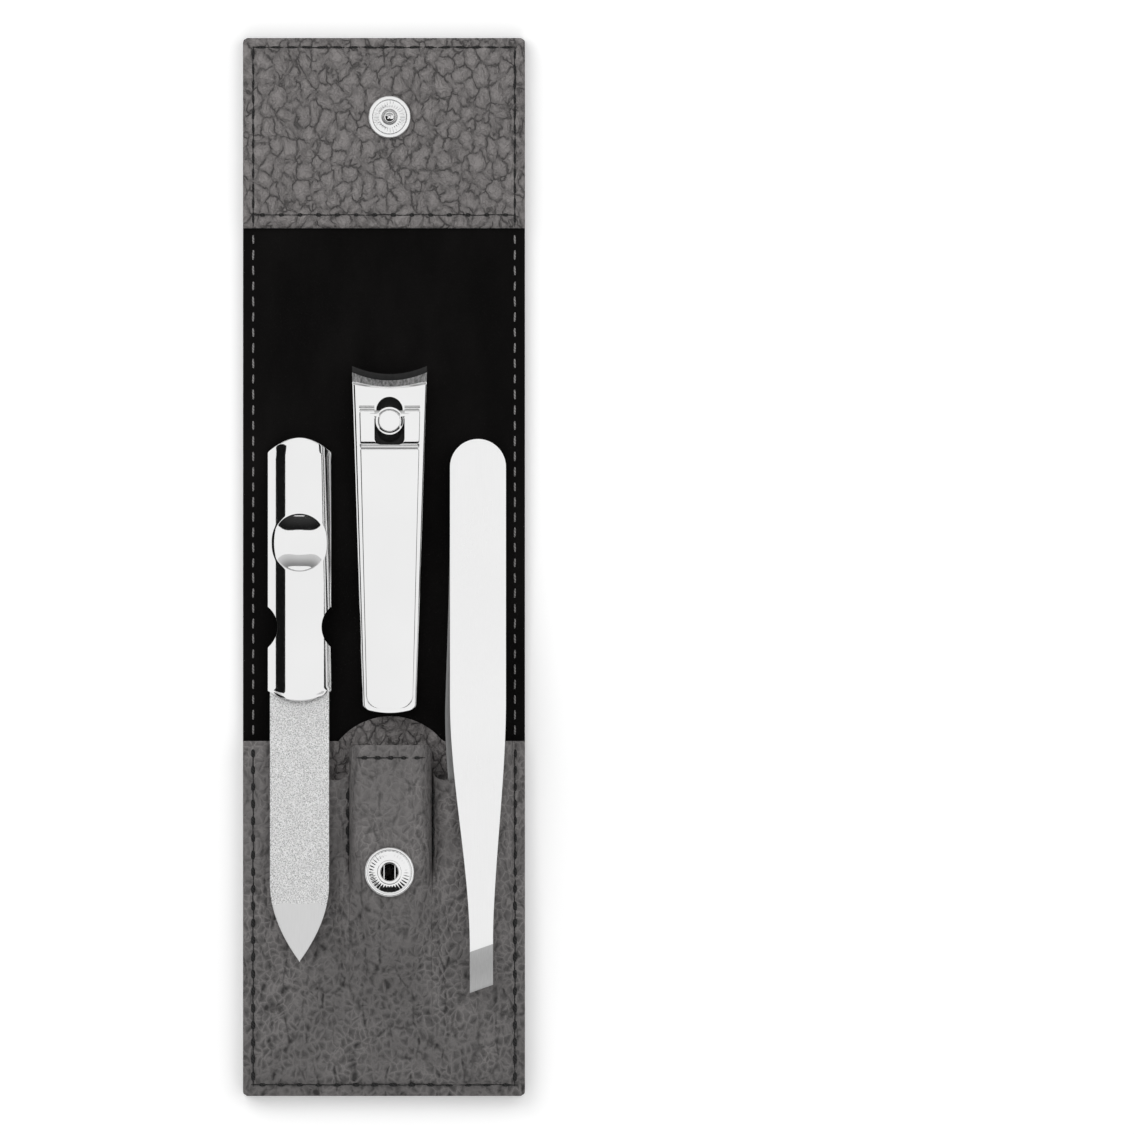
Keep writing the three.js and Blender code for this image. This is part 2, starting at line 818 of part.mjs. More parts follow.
// Pin, with a foot in the lower jaw and a notch at its top that the lever's bar lies in
const barY = pinY + barOffset;
const pinCheekZ = camZ - pinCheekBelowBar;
const pinTopZ = camZ + pinAboveBar;
function barRod(radius, half) {
  const rod = new THREE.CylinderGeometry(radius, radius, 2 * half, roundSides);
  rod.rotateZ(Math.PI / 2);
  rod.translate(clipperOffset, barY, camZ);
  return rod;
}
add(
  'clipper_pin',
  cut(
    turned(
      [
        [0, jawZ],
        [pinFootRadius, jawZ],
        [pinFootRadius, jawZ + pinFootHeight],
        [pinRadius, jawZ + pinFootHeight],
        [pinRadius, pinCheekZ],
        [pinHeadRadius, pinCheekZ],
        [pinHeadRadius, pinTopZ - pinHeadBevel],
        [pinHeadRadius - pinHeadBevel, pinTopZ],
        [0, pinTopZ],
      ],
      clipperOffset,
      pinY,
    ),
    barRod(barRadius + barClearance, pinHeadRadius + cutOverrun),
  ),
  chromePaint,
);

// Lever, folded down along the jaws, with a round cam, a window for the pin and a cross bar
const leverTailY = tailY + leverTailInset;
const leverHeadY = barY + camRadius;
const kneeY = barY - leverKneeLength;

function leverHalf(y) {
  const narrowing = leverTailNarrowing * clamp((barY - y) / (barY - leverTailY), 0, 1);
  return bluntHalf((leverWidth - narrowing) / 2, y - leverTailY, leverCorner);
}

function leverLow(y) {
  if (y > barY) return camZ - roundedHalf(camRadius, leverHeadY - y);
  return leverHeelZ - leverDrop * clamp((kneeY - y) / (kneeY - leverTailY), 0, 1);
}

function leverHigh(y, side) {
  const bevel = leverBevel * smooth(1 - (1 - Math.abs(side)) / leverBevelShare);
  if (y > barY) return camZ + roundedHalf(camRadius, leverHeadY - y) * (1 - bevel / camRadius);
  const arch = (2 * camRadius - leverThickness) * smooth((y - kneeY) / (barY - kneeY));
  return leverLow(y) + leverThickness + arch - bevel;
}

const windowHalf = windowWidth / 2;
add(
  'clipper_lever',
  join(
    cut(
      strip({
        rows: [
          ...endRows(leverTailY, leverTailY + leverCorner, 5),
          ...steps(leverTailY + leverCorner, kneeY, 6).slice(1),
          ...steps(kneeY, barY, 6).slice(1),
          ...endRows(leverHeadY, barY, 5).reverse().slice(1),
        ],
        columns: 12,
        edges: (y) => [clipperOffset - leverHalf(y), clipperOffset + leverHalf(y)],
        low: leverLow,
        high: leverHigh,
      }),
      block(
        clipperOffset - windowHalf,
        clipperOffset + windowHalf,
        barY - windowFromBar,
        leverHeadY + cutOverrun,
        leverHeelZ - cutOverrun,
        pinTopZ,
      ),
    ),
    barRod(barRadius, windowHalf + camRadius / 2),
  ),
  chromePaint,
);

// Tweezers: two arms welded at the closed end and sprung apart
const tweezersTopY = mouthY + tweezersBeyondMouth;

function armLow(y) {
  return innerZ + toolClearance + dividerThickness * smooth((tweezersTopY - y) / armSettle);
}

function armThin(y) {
  const toTip = (y - tweezersTopY + tweezersLength) / tipThinning;
  return tipThickness + (armThickness - tipThickness) * smooth(toTip);
}

function armGap(y) {
  return armSpread * smooth((tweezersTopY - y - weldLength) / (spreadLength - weldLength));
}

function armHalf(y) {
  const along = tweezersTopY - y;
  const narrowed = smooth((along - narrowFrom) / (narrowTo - narrowFrom));
  const half = (tweezersWidth - (tweezersWidth - tweezersTipWidth) * narrowed) / 2;
  return along < half ? roundedHalf(half, along) : half;
}

function armShape(shift) {
  return {
    rows: [
      ...steps(tweezersTopY - tweezersLength, tweezersTopY - narrowTo, 3),
      ...steps(tweezersTopY - narrowTo, tweezersTopY - tweezersWidth / 2, 18).slice(1),
      ...endRows(tweezersTopY, tweezersTopY - tweezersWidth / 2, 5).reverse().slice(1),
    ],
    columns: 4,
    edges: (y) => {
      const along = tweezersTopY - y;
      const drift = tweezersTipShift * smooth((along - narrowFrom) / (narrowTo - narrowFrom));
      const centre = tweezersX + drift - shift * smooth((along - weldLength) / spreadLength);
      return [centre - armHalf(y), centre + armHalf(y)];
    },
    slide: (y, side) => {
      const toTip = (y - tweezersTopY + tweezersLength) / tipThinning;
      return (tipSlant * (1 + side) * (1 - smooth(toTip))) / 2;
    },
  };
}

add(
  'tweezers_rear_arm',
  strip({ ...armShape(rearArmShift), low: armLow, high: (y) => armLow(y) + armThin(y) }),
  steelPaint,
);
add(
  'tweezers_front_arm',
  strip({
    ...armShape(0),
    low: (y) => armLow(y) + armThickness + armGap(y),
    high: (y) => armLow(y) + armThickness + armGap(y) + armThin(y),
  }),
  steelPaint,
);

export default set;
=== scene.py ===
import math
from contextlib import contextmanager

import bpy
from mathutils import Matrix, Vector


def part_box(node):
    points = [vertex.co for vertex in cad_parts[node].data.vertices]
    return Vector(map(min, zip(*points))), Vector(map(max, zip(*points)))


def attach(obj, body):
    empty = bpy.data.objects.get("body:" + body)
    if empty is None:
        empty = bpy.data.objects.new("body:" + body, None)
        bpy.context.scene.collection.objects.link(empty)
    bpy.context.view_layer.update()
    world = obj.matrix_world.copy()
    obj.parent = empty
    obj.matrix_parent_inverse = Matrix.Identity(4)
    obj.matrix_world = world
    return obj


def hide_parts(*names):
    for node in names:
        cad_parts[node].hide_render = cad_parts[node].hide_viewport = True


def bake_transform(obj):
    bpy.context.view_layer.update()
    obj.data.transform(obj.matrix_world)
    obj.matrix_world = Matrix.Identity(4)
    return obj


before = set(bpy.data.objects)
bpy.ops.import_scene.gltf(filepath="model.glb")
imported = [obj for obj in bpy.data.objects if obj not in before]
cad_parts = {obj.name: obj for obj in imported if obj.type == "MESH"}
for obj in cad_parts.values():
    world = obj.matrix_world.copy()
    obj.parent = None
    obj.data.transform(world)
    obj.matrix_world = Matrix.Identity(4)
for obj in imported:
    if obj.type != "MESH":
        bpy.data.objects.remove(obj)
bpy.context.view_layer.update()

MM = 0.001


def corners(node):
    """A CAD node's lowest and highest corner, in millimetres."""
    low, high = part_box(node)
    return low / MM, high / MM


def centre_of(node):
    low, high = corners(node)
    return (low + high) / 2


# Places read from the frame, in millimetres
back_low, back_high = corners("back_leather")
flap_high = corners("flap_leather")[1]
facing_low, facing_high = corners("flap_facing")
pocket_high = corners("pocket_front")[1]
divider_high = corners("pocket_divider")[1]
HALF_WIDTH = back_high.x
BOTTOM_Y = back_low.y
LOWER_FOLD_Y = back_high.y
FOLD_Y = corners("spine_lower_leather")[1].y
UPPER_FOLD_Y = corners("spine_upper_leather")[1].y
FLAP_END_Y = flap_high.y
LEATHER_Z = back_low.z
LINING_Z = back_high.z
INNER_Z = facing_low.z
FACING_Z = facing_high.z
BASE_Z = divider_high.z
MOUTH_Y = pocket_high.y
CORNER = 0.8
HALF_SPINE = (FOLD_Y - LOWER_FOLD_Y) / 2


# Shader maths
class Signal:
    """A socket in a node tree, with arithmetic that adds its nodes."""

    def __init__(self, nodes, socket):
        self.nodes = nodes
        self.socket = socket

    def _math(self, operation, first, second):
        return self.nodes.node("ShaderNodeMath", {"operation": operation}, [first, second])

    def __add__(self, other):
        return self._math("ADD", self, other)

    def __sub__(self, other):
        return self._math("SUBTRACT", self, other)

    def __rsub__(self, other):
        return self._math("SUBTRACT", other, self)

    def __mul__(self, other):
        return self._math("MULTIPLY", self, other)

    __radd__ = __add__
    __rmul__ = __mul__

    def band(self, low, high):
        """0 below low, 1 above high, smooth between."""
        settings = {"interpolation_type": "SMOOTHSTEP"}
        return self.nodes.node("ShaderNodeMapRange", settings, [self, low, high, 0.0, 1.0])

    def at_most(self, other):
        return self._math("MINIMUM", self, other)

    def at_least(self, other):
        return self._math("MAXIMUM", self, other)


class Nodes:
    """A node tree, and a way to add nodes to it."""

    def __init__(self, tree):
        self.tree = tree

    def node(self, kind, settings=None, inputs=(), output=0):
        made = self.tree.nodes.new(kind)
        for key, value in (settings or {}).items():
            setattr(made, key, value)
        named = inputs.items() if isinstance(inputs, dict) else enumerate(inputs)
        for key, value in named:
            if isinstance(value, Signal):
                self.tree.links.new(value.socket, made.inputs[key])
            else:
                made.inputs[key].default_value = value
        return Signal(self, made.outputs[output])


class Finish(Nodes):
    """A material with its Principled shader, and the patterns that feed it."""

    def __init__(self, name, **shader):
        self.material = bpy.data.materials.new(name)
        self.material.use_nodes = True
        super().__init__(self.material.node_tree)
        self.shader = self.tree.nodes["Principled BSDF"]
        for socket, value in shader.items():
            self.shader.inputs[socket.replace("_", " ")].default_value = value

    def place(self, scale=(1, 1, 1), turn=0.0):
        """Object coordinates, scaled and turned about Z."""
        spot = self.node("ShaderNodeTexCoord", output="Object")
        inputs = {"Vector": spot, "Scale": scale, "Rotation": (0.0, 0.0, turn)}
        return self.node("ShaderNodeMapping", None, inputs)

    def noise(self, where, scale, detail, roughness=0.55, output=0):
        inputs = {"Vector": where, "Scale": scale, "Detail": detail, "Roughness": roughness}
        return self.node("ShaderNodeTexNoise", None, inputs, output)

    def cells(self, where, scale, feature="DISTANCE_TO_EDGE"):
        inputs = {"Vector": where, "Scale": scale}
        return self.node("ShaderNodeTexVoronoi", {"feature": feature}, inputs)

    def vectors(self, operation, first, second):
        return self.node("ShaderNodeVectorMath", {"operation": operation}, [first, second])

    def shift(self, where, amount, scale):
        """Coordinates moved about by a soft noise."""
        wave = self.noise(where, scale, 2.0, output="Color")
        centred = self.vectors("SUBTRACT", wave, (0.5, 0.5, 0.5))
        return self.vectors("ADD", where, self.vectors("MULTIPLY", centred, (amount,) * 3))

    def fine_lines(self, scale, turn):
        """The fine wavy lines on leather."""
        return self.noise(self.shift(self.place(scale, turn), 0.002, 300.0), 4600.0, 4.0, 0.6)

    def mix(self, factor, first, second):
        inputs = {0: factor, 6: first, 7: second}
        return self.node("ShaderNodeMix", {"data_type": "RGBA"}, inputs, 2)

    def feed(self, socket, signal):
        self.tree.links.new(signal.socket, self.shader.inputs[socket])

    def colour(self, share, first, second):
        self.feed("Base Color", self.mix(share, first, second))

    def bump(self, height, distance, strength=1.0):
        inputs = {"Height": height, "Distance": distance, "Strength": strength}
        self.feed("Normal", self.node("ShaderNodeBump", None, inputs))


def grey(value, warmth=0.0):
    return (value * (1 + warmth), value, value * (1 - warmth * 0.25), 1.0)


def leather_finish(name, base, crease, pebble, relief):
    """Full-grain leather: long uneven pebbles, fine lines, and broken creases between them darkened
    with painted shade.
    """
    made = Finish(name, Specular_IOR_Level=0.4)
    along = made.place((1.0, 0.78, 1.0), 0.45)
    bent = made.shift(made.shift(along, 0.003, 190.0), 0.0012, 700.0)
    where = made.shift(bent, 0.0005, 2300.0)
    large = made.cells(where, pebble)
    small = made.cells(where, pebble * 2.7)
    lines = made.fine_lines((0.5, 1.0, 1.0), -0.3)
    mottle = made.noise(along, 640.0, 3.0, 0.6)
    patches = made.noise(along, 90.0, 3.0, 0.6)
    broken = made.noise(along, 620.0, 2.0).band(0.38, 0.6)
    # Painted shade: darker in the valleys, the crease cores and the fine veins between the pebbles,
    # towards the crease colour
    valley_shade = 1.0 - large.band(0.0, 0.3)
    core = (1.0 - large.band(0.0, 0.08)) * broken
    veins = (1.0 - small.band(0.0, 0.14)) * (1.0 - broken)
    fold = valley_shade * 0.36 + core * 0.42 + veins * 0.22
    tone = patches * 0.3 + mottle * 0.3 + lines * 0.4
    shade = made.mix(tone, grey(base * 0.62, 0.075), grey(base * 1.38, 0.06))
    made.colour(fold.at_most(1.0), shade, grey(crease, 0.07))
    made.feed("Roughness", 0.44 + fold * 0.24 + lines * 0.14)
    dome = large.band(0.0, 0.5) * 0.8 + small.band(0.0, 0.4) * 0.16 + mottle * 0.2
    made.bump(dome - core * 0.3 + lines * 0.16, relief)
    return made


def pocket_finish(base, relief):
    """The pocket's softer leather: small dark grains in a net of light veins, and long folds
    darkened with painted shade.
    """
    made = Finish("leather_pocket", Specular_IOR_Level=0.42)
    along = made.place((1.0, 0.8, 1.0), -0.35)
    where = made.shift(made.shift(along, 0.002, 240.0), 0.0008, 1100.0)
    grains = made.cells(where, 820.0)
    folds = made.cells(made.shift(made.place((1.0, 0.45, 1.0), 0.3), 0.006, 130.0), 260.0)
    streaks = made.fine_lines((0.4, 1.0, 1.0), 0.1)
    mottle = made.noise(along, 520.0, 3.0, 0.6)
    patches = made.noise(along, 70.0, 3.0, 0.6)
    clear = patches.band(0.4, 0.6)
    net = (1.0 - grains.band(0.0, 0.1)) * (clear * 0.7 + 0.2)
    upper = made.node("ShaderNodeSeparateXYZ", None, [made.place()], 1).band(-0.074, -0.042)
    spots = grains.band(0.1, 0.42) * (1.0 - upper * 0.75)
    # Painted shade along the long folds
    crease = (1.0 - folds.band(0.0, 0.1)) * mottle.band(0.4, 0.62)
    tone = patches * 0.3 + mottle * 0.35 + streaks * 0.35
    shade = made.mix(tone, grey(base * 0.5, 0.06), grey(base * 1.5, 0.05))
    veined = made.mix(net * 0.42, shade, grey(base * 2.2, 0.06))
    # Darker in the folds from painted shade, at the grains' centres, and towards the bottom
    dark = (crease * 0.5 + spots * 0.4 + (1.0 - upper) * 0.2).at_most(0.9)
    made.colour(dark, veined, grey(0.014, 0.05))
    made.feed("Roughness", 0.42 + crease * 0.2 + streaks * 0.18)
    dome = grains.band(0.0, 0.5) * 0.4 + folds.band(0.0, 0.4) * 0.55 + mottle * 0.3
    made.bump(dome + streaks * 0.14, relief)
    return made


def suede_finish():
    """Black suede: a short matted nap with faint brushed patches."""
    made = Finish("suede_black", Sheen_Weight=0.04, Sheen_Roughness=0.4, Specular_IOR_Level=0.05)
    where = made.place()
    nap = made.noise(where, 4200.0, 4.0, 0.7)
    brushed = made.noise(made.shift(made.place((1.0, 0.5, 1.0)), 0.006, 60.0), 70.0, 4.0, 0.6)
    tone = brushed.band(0.3, 0.75) * 0.6 + nap * 0.4
    made.colour(tone, grey(0.002, 0.08), grey(0.0075, 0.08))
    made.feed("Roughness", 0.82 + nap * 0.16)
    made.bump(nap, 0.00012, 0.8)
    return made


def edge_finish():
    """The cut and painted edge of the leather."""
    made = Finish("leather_edge", Roughness=0.6)
    fibres = made.noise(made.place((1.0, 1.0, 6.0)), 2600.0, 3.0)
    made.colour(fibres, grey(0.016, 0.05), grey(0.042, 0.05))
    made.bump(fibres, 0.00008)
    return made


def thread_finish(name, dark, light):
    """Twisted thread: fine slanted plies across each stitch, with painted shade in the grooves
    between them.
    """
    made = Finish(name, Roughness=0.75, Specular_IOR_Level=0.25)
    inputs = {"Vector": made.place(), "Scale": 1150.0, "Distortion": 0.6, "Detail": 1.0}
    plies = made.node("ShaderNodeTexWave", {"bands_direction": "DIAGONAL"}, inputs, "Fac")
    fuzz = made.noise(made.place(), 3800.0, 2.0)
    # Darker in the grooves between the plies: painted shade
    made.colour(plies * 0.7 + fuzz * 0.3, dark, light)
    made.bump(plies, 0.00006)
    return made


def chrome_finish():
    """Polished chrome with faint wiping marks."""
    made = Finish("polished_chrome", Metallic=1.0)
    wiped = made.noise(made.place((1.0, 0.2, 1.0)), 420.0, 4.0, 0.6)
    smudge = made.noise(made.place(), 55.0, 2.0)
    made.colour(smudge, grey(0.8), grey(0.88))
    made.feed("Roughness", 0.035 + smudge.band(0.4, 0.8) * 0.05 + wiped * 0.03)
    made.bump(wiped, 0.000002, 0.6)
    return made


def satin_finish(name, low, high, rough):
    """Satin steel: fine lines along the piece and a soft drift in tone."""
    made = Finish(name, Metallic=1.0)
    lines = made.noise(made.place((1.0, 0.018, 1.0)), 9000.0, 3.0, 0.65)
    drift = made.noise(made.place(), 45.0, 2.0)
    made.colour(lines * 0.6 + drift * 0.4, grey(low), grey(high))
    made.feed("Roughness", rough + lines * 0.14 + drift * 0.06)
    made.bump(lines, 0.000006, 0.8)
    return made


def ground_finish():
    """Freshly ground steel with coarse lines from the wheel."""
    made = Finish("ground_steel", Metallic=1.0)
    lines = made.noise(made.place((1.0, 0.05, 1.0), 0.12), 3400.0, 3.0, 0.7)
    made.colour(lines.band(0.3, 0.7), grey(0.12), grey(0.42))
    made.feed("Roughness", 0.3 + lines * 0.2)
    made.bump(lines, 0.00003)
    return made


def painted_shade_finish():
    """Painted shade: dark steel for the jaw faces that lie in shadow under the upper jaw and the
    lever, with a faint mottle.
    """
    made = Finish("jaw_painted_shade", Metallic=0.6)
    shade_noise = made.noise(made.place(), 900.0, 3.0)
    made.colour(shade_noise, grey(0.012), grey(0.04))
    made.feed("Roughness", 0.5 + shade_noise * 0.2)
    made.bump(shade_noise, 0.00002)
    return made


def grit_finish():
    """The file's face: sharp grains set in steel."""
    made = Finish("file_grit", Metallic=0.75, Specular_IOR_Level=0.6)
    grains = made.cells(made.place(), 4000.0, "F1")
    sparkle = made.noise(made.place(), 5600.0, 2.0, 0.7)
    tone = grains.band(0.2, 0.6) * 0.5 + sparkle.band(0.38, 0.6) * 0.5
    made.colour(tone, grey(0.38), grey(1.0))
    made.feed("Roughness", 0.42 + sparkle * 0.3)
    made.bump(grains * 0.6 + sparkle * 0.6, 0.00007)
    return made


def inlay_finish():
    """The badge's black enamel, with a faint wave in its gloss."""
    made = Finish("badge_black", Coat_Weight=0.6, Coat_Roughness=0.08)
    wave = made.noise(made.place(), 700.0, 3.0)
    made.colour(wave, grey(0.006), grey(0.016))
    made.feed("Roughness", 0.24 + wave * 0.14)
    made.bump(wave, 0.00001)
    return made


LEATHER = leather_finish("leather_grey", 0.226, 0.022, 440.0, 0.0009)
POCKET_LEATHER = pocket_finish(0.13, 0.0006)
# The divider's leather is darker, partly its own tone and partly painted shade
DARK_LEATHER = leather_finish("leather_divider", 0.2, 0.01, 520.0, 0.0007)
SUEDE = suede_finish()
EDGE = edge_finish()
DARK_THREAD = thread_finish("thread_dark", grey(0.006), grey(0.03))
PALE_THREAD = thread_finish("thread_grey", grey(0.1, 0.03), grey(0.3, 0.03))
CHROME = chrome_finish()
STEEL = satin_finish("satin_steel", 0.82, 0.95, 0.2)
TIP_STEEL = satin_finish("tip_steel", 0.6, 0.78, 0.26)
FACET_STEEL = satin_finish("facet_steel", 0.3, 0.66, 0.3)
# Painted shade: a darker copy of the satin steel for the rear tweezers arm's upward face, in shadow
# under the front arm
SHADED_INNER_STEEL = satin_finish("inner_steel_painted_shade", 0.2, 0.34, 0.34)
GROUND = ground_finish()
# Painted shade for the jaw faces that lie in shadow
PAINTED_SHADE = painted_shade_finish()
GRIT = grit_finish()
INLAY = inlay_finish()


# Modelling helpers
MERGE_DISTANCE = 0.000002
ALONG_Y = (math.pi / 2, 0, 0)
ALONG_X = (0, math.pi / 2, 0)


def clamp(value, low=0.0, high=1.0):
    return min(max(value, low), high)


def smooth(share):
    t = clamp(share)
    return t * t * (3 - 2 * t)


def deselect():
    if bpy.context.object and bpy.context.object.mode != "OBJECT":
        bpy.ops.object.mode_set(mode="OBJECT")
    bpy.ops.object.select_all(action="DESELECT")


def only(piece):
    deselect()
    piece.select_set(True)
    bpy.context.view_layer.objects.active = piece


@contextmanager
def editing(piece, everything=True):
    """Edit mode on one piece, with all of it selected or with what was selected before."""
    only(piece)
    bpy.ops.object.mode_set(mode="EDIT")
    if everything:
        bpy.ops.mesh.select_all(action="SELECT")
    yield
    bpy.ops.object.mode_set(mode="OBJECT")


def added(name):
    """Names the new piece and moves its place, turn and scale into its mesh."""
    piece = bpy.context.object
    piece.name = name
    piece.data.name = name
    bpy.ops.object.transform_apply(location=True, rotation=True, scale=True)
    return piece


def shaped(piece, kind, **settings):
    """Adds a modifier with its settings and applies it."""
    only(piece)
    step = piece.modifiers.new(kind.title(), kind)
    for key, value in settings.items():
        setattr(step, key, value)
    bpy.ops.object.modifier_apply(modifier=step.name)


def rounded(piece, width, segments=2, angle=35.0):
    shaped(
        piece,
        "BEVEL",
        width=width * MM,
        segments=segments,
        limit_method="ANGLE",
        angle_limit=math.radians(angle),
    )


def outward(piece):
    """Merges doubled corners and turns all faces outward, judged by the volume they enclose."""
    with editing(piece):
        bpy.ops.mesh.remove_doubles(threshold=MERGE_DISTANCE)
        bpy.ops.mesh.normals_make_consistent(inside=False)
    if sum(face.area * face.center.dot(face.normal) for face in piece.data.polygons) < 0:
        with editing(piece):
            bpy.ops.mesh.flip_normals()
    return piece


def slab(name, columns, rows, place):
    """A grid given a thickness, then set in place: place(side, along, layer) in millimetres,
    with side from -1 to 1, along from 0 to 1, and layer 0 below and 1 above."""
    deselect()
    bpy.ops.mesh.primitive_grid_add(x_subdivisions=columns, y_subdivisions=rows, size=2)
    piece = added(name)
    with editing(piece):
        bpy.ops.mesh.extrude_region_move(TRANSFORM_OT_translate={"value": (0, 0, 1)})
    for vertex in piece.data.vertices:
        spot = vertex.co
        vertex.co = Vector(place(spot.x, (spot.y + 1) / 2, round(spot.z))) * MM
    return outward(piece)


def spun(name, profile, x, y, segments=72):
    """A profile of (radius, height) in millimetres, spun round an upright axis."""
    deselect()
    bpy.ops.mesh.primitive_circle_add(vertices=len(profile), radius=1, fill_type="NOTHING")
    piece = added(name)
    for vertex, (radius, height) in zip(piece.data.vertices, profile):
        vertex.co = Vector((x + radius, y, height)) * MM
    axis_place = Vector((x, y, 0)) * MM
    with editing(piece):
        bpy.ops.mesh.spin(steps=segments, angle=2 * math.pi, center=axis_place, axis=(0, 0, 1))
    return outward(piece)


def rod(name, radius, length, centre, turn=(0, 0, 0), sides=48):
    """A round rod with its measures in millimetres, upright unless it is turned."""
    deselect()
    bpy.ops.mesh.primitive_cylinder_add(
        vertices=sides,
        radius=radius * MM,
        depth=length * MM,
        location=Vector(centre) * MM,
        rotation=turn,
    )
    return added(name)


def cut(piece, tool, operation="DIFFERENCE"):
    """Cuts a closed shape out of the piece, or joins it on, and drops that shape."""
    shaped(piece, "BOOLEAN", operation=operation, object=tool, solver="MANIFOLD")
    bpy.data.objects.remove(tool)


def bored(piece, x, y, radius, low_z, high_z):
    """Cuts an upright round hole."""
    cut(piece, rod("drill", radius, high_z - low_z, (x, y, (low_z + high_z) / 2)))


def finished(piece, finishes, body=None, nodes=(), angle=38.0):
    """Gives a piece its finishes, its smooth shading below an angle, the body that it
    rides on and the CAD nodes that it replaces."""
    only(piece)
    bpy.ops.object.shade_smooth_by_angle(angle=math.radians(angle))
    piece.data.materials.clear()
    for finish in finishes:
        piece.data.materials.append(finish.material)
    if nodes:
        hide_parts(*nodes)
    if body:
        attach(piece, body)
    return piece


def paint_where(piece, index, test):
    """Gives the faces that pass a test of centre (millimetres) and normal another finish."""
    for face in piece.data.polygons:
        if test(face.center / MM, face.normal):
            face.material_index = index


# The strip: outer leather and lining, each in three pieces, each taking in one fold
def end_half(y):
    """Half the strip's width, drawn in at its rounded corners."""
    from_end = min(y - BOTTOM_Y, FLAP_END_Y - y)
    if from_end >= CORNER:
        return HALF_WIDTH
    return HALF_WIDTH - CORNER + math.sqrt(max(CORNER**2 - (CORNER - from_end) ** 2, 0.01))


def strip_piece(name, low_y, high_y, low_z, high_z):
    """One sheet of the strip, its rows close together in the spine and at the rounded ends."""
    rows = []
    y = low_y
    while y < high_y - 0.3:
        rows.append(y)
        near_fold = LOWER_FOLD_Y - 4 < y < UPPER_FOLD_Y + 4
        near_end = y < BOTTOM_Y + CORNER or y > FLAP_END_Y - CORNER - 0.5
        y += 0.4 if near_end else 0.7 if near_fold else 3.0
    rows.append(high_y)

    def place(side, along, layer):
        y = rows[round(along * (len(rows) - 1))]
        return side * end_half(y), y, high_z if layer else low_z

    return slab(name, 8, len(rows) - 1, place)


LOWER_MID_Y = LOWER_FOLD_Y + HALF_SPINE / 2
UPPER_MID_Y = UPPER_FOLD_Y - HALF_SPINE / 2
STRETCHES = [
    ("case", "spine_lower", BOTTOM_Y, LOWER_MID_Y, LOWER_FOLD_Y, "back"),
    ("spine_lower", "spine_upper", LOWER_MID_Y, UPPER_MID_Y, FOLD_Y, "spine"),
    ("spine_upper", "flap", UPPER_MID_Y, FLAP_END_Y, UPPER_FOLD_Y, "flap"),
]
COVERED = {
    "back": ["back"],
    "spine": ["spine_lower", "spine_upper"],
    "flap": ["flap_root", "flap"],
}
LAYERS = [
    ("outer", "leather", LEATHER_Z, LINING_Z, [LEATHER, EDGE], "leather_grey"),
    ("suede", "lining", LINING_Z, INNER_Z, [SUEDE], "suede_black"),
]


def bent(piece, below, above, fold_y):
    """Moves the piece's place into its mesh."""
    reach = HALF_SPINE / 2
    start, end = (Vector((0, fold_y + way, LINING_Z)) * MM for way in (-reach, reach))
    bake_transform(piece)


for below, above, low_y, high_y, fold_y, stem in STRETCHES:
    for layer, solid, low_z, high_z, finishes, slot in LAYERS:
        piece = strip_piece(f"{stem}_{layer}", low_y, high_y, low_z, high_z)
        nodes = [f"{node}_{solid}" for node in COVERED[stem]]
        finished(piece, finishes, nodes=nodes, angle=50)
        if EDGE in finishes:
            paint_where(piece, 1, lambda centre, normal: abs(normal.z) < 0.3)
        bent(piece, below, above, fold_y)


# Pocket front and divider, on the same swelling forms as the solids
SEAM_INSET = 1.9
MIDDLE_LOW = -6.0
MIDDLE_HIGH = 8.3
SEAM_LOW = -HALF_WIDTH + SEAM_INSET
SEAM_HIGH = HALF_WIDTH - SEAM_INSET
SEAM_Y = BOTTOM_Y + SEAM_INSET
POCKET_THICK = 1.1
NOTCH_DEPTH = 6.7
NOTCH_RADIUS = 2.0
TAB_DROP = 0.7
TAB_CORNER = 1.2
BARREL_HOLE = 1.95
STITCHED = 20
LEFT_NOTCH_X = MIDDLE_LOW - 7
RIGHT_NOTCH_X = MIDDLE_HIGH + 6
socket_low, socket_high = corners("snap_socket")
SNAP_X, SOCKET_Y = centre_of("snap_socket").xy
SOCKET_RADIUS = (socket_high.x - socket_low.x) / 2
MIDDLE_RISE = socket_low.z - POCKET_THICK - BASE_Z
LEFT_RISE = 0.4
RIGHT_RISE = 2.3
COMMON_RISE = 1.6
STITCH_END_Y = MOUTH_Y - STITCHED
BOTTOM_ROLL = 3.0


def swell(x, low, high):
    u = clamp((2 * x - low - high) / (high - low), -1, 1)
    return math.sqrt(1 - u**4)


def roll_up(y):
    """How far the leather has risen from the bottom seam, like a quarter-round."""
    if y <= SEAM_Y:
        return 0.0
    t = clamp(1 - (y - SEAM_Y) / BOTTOM_ROLL)
    return math.sqrt(1 - t * t)


def pocket_rise(x, y):
    """How far the pocket's back face stands off the divider, evened out below the stitches."""
    even = smooth((STITCH_END_Y + 1 - y) / 9)
    if even == 0:
        return channel_rise(x, y)
    spread = sum(channel_rise(x + 0.7 * step, y) for step in range(-4, 5)) / 9
    return channel_rise(x, y) * (1 - even) + spread * even


def channel_rise(x, y):
    fade = smooth((y - SEAM_Y) / (SOCKET_Y - SOCKET_RADIUS - 1 - SEAM_Y))
    middle = min(MIDDLE_RISE, 1.15 * MIDDLE_RISE * swell(x, MIDDLE_LOW, MIDDLE_HIGH)) * fade
    left = LEFT_RISE * swell(x, SEAM_LOW, MIDDLE_LOW) * roll_up(y)
    right = RIGHT_RISE * swell(x, MIDDLE_HIGH, SEAM_HIGH) * roll_up(y)
    free = smooth((STITCH_END_Y - y) / STITCHED)
    common = COMMON_RISE * free * swell(x, SEAM_LOW, SEAM_HIGH) * roll_up(y)
    return max(middle, left, right, min(common, left + right + middle + LEFT_RISE * free))


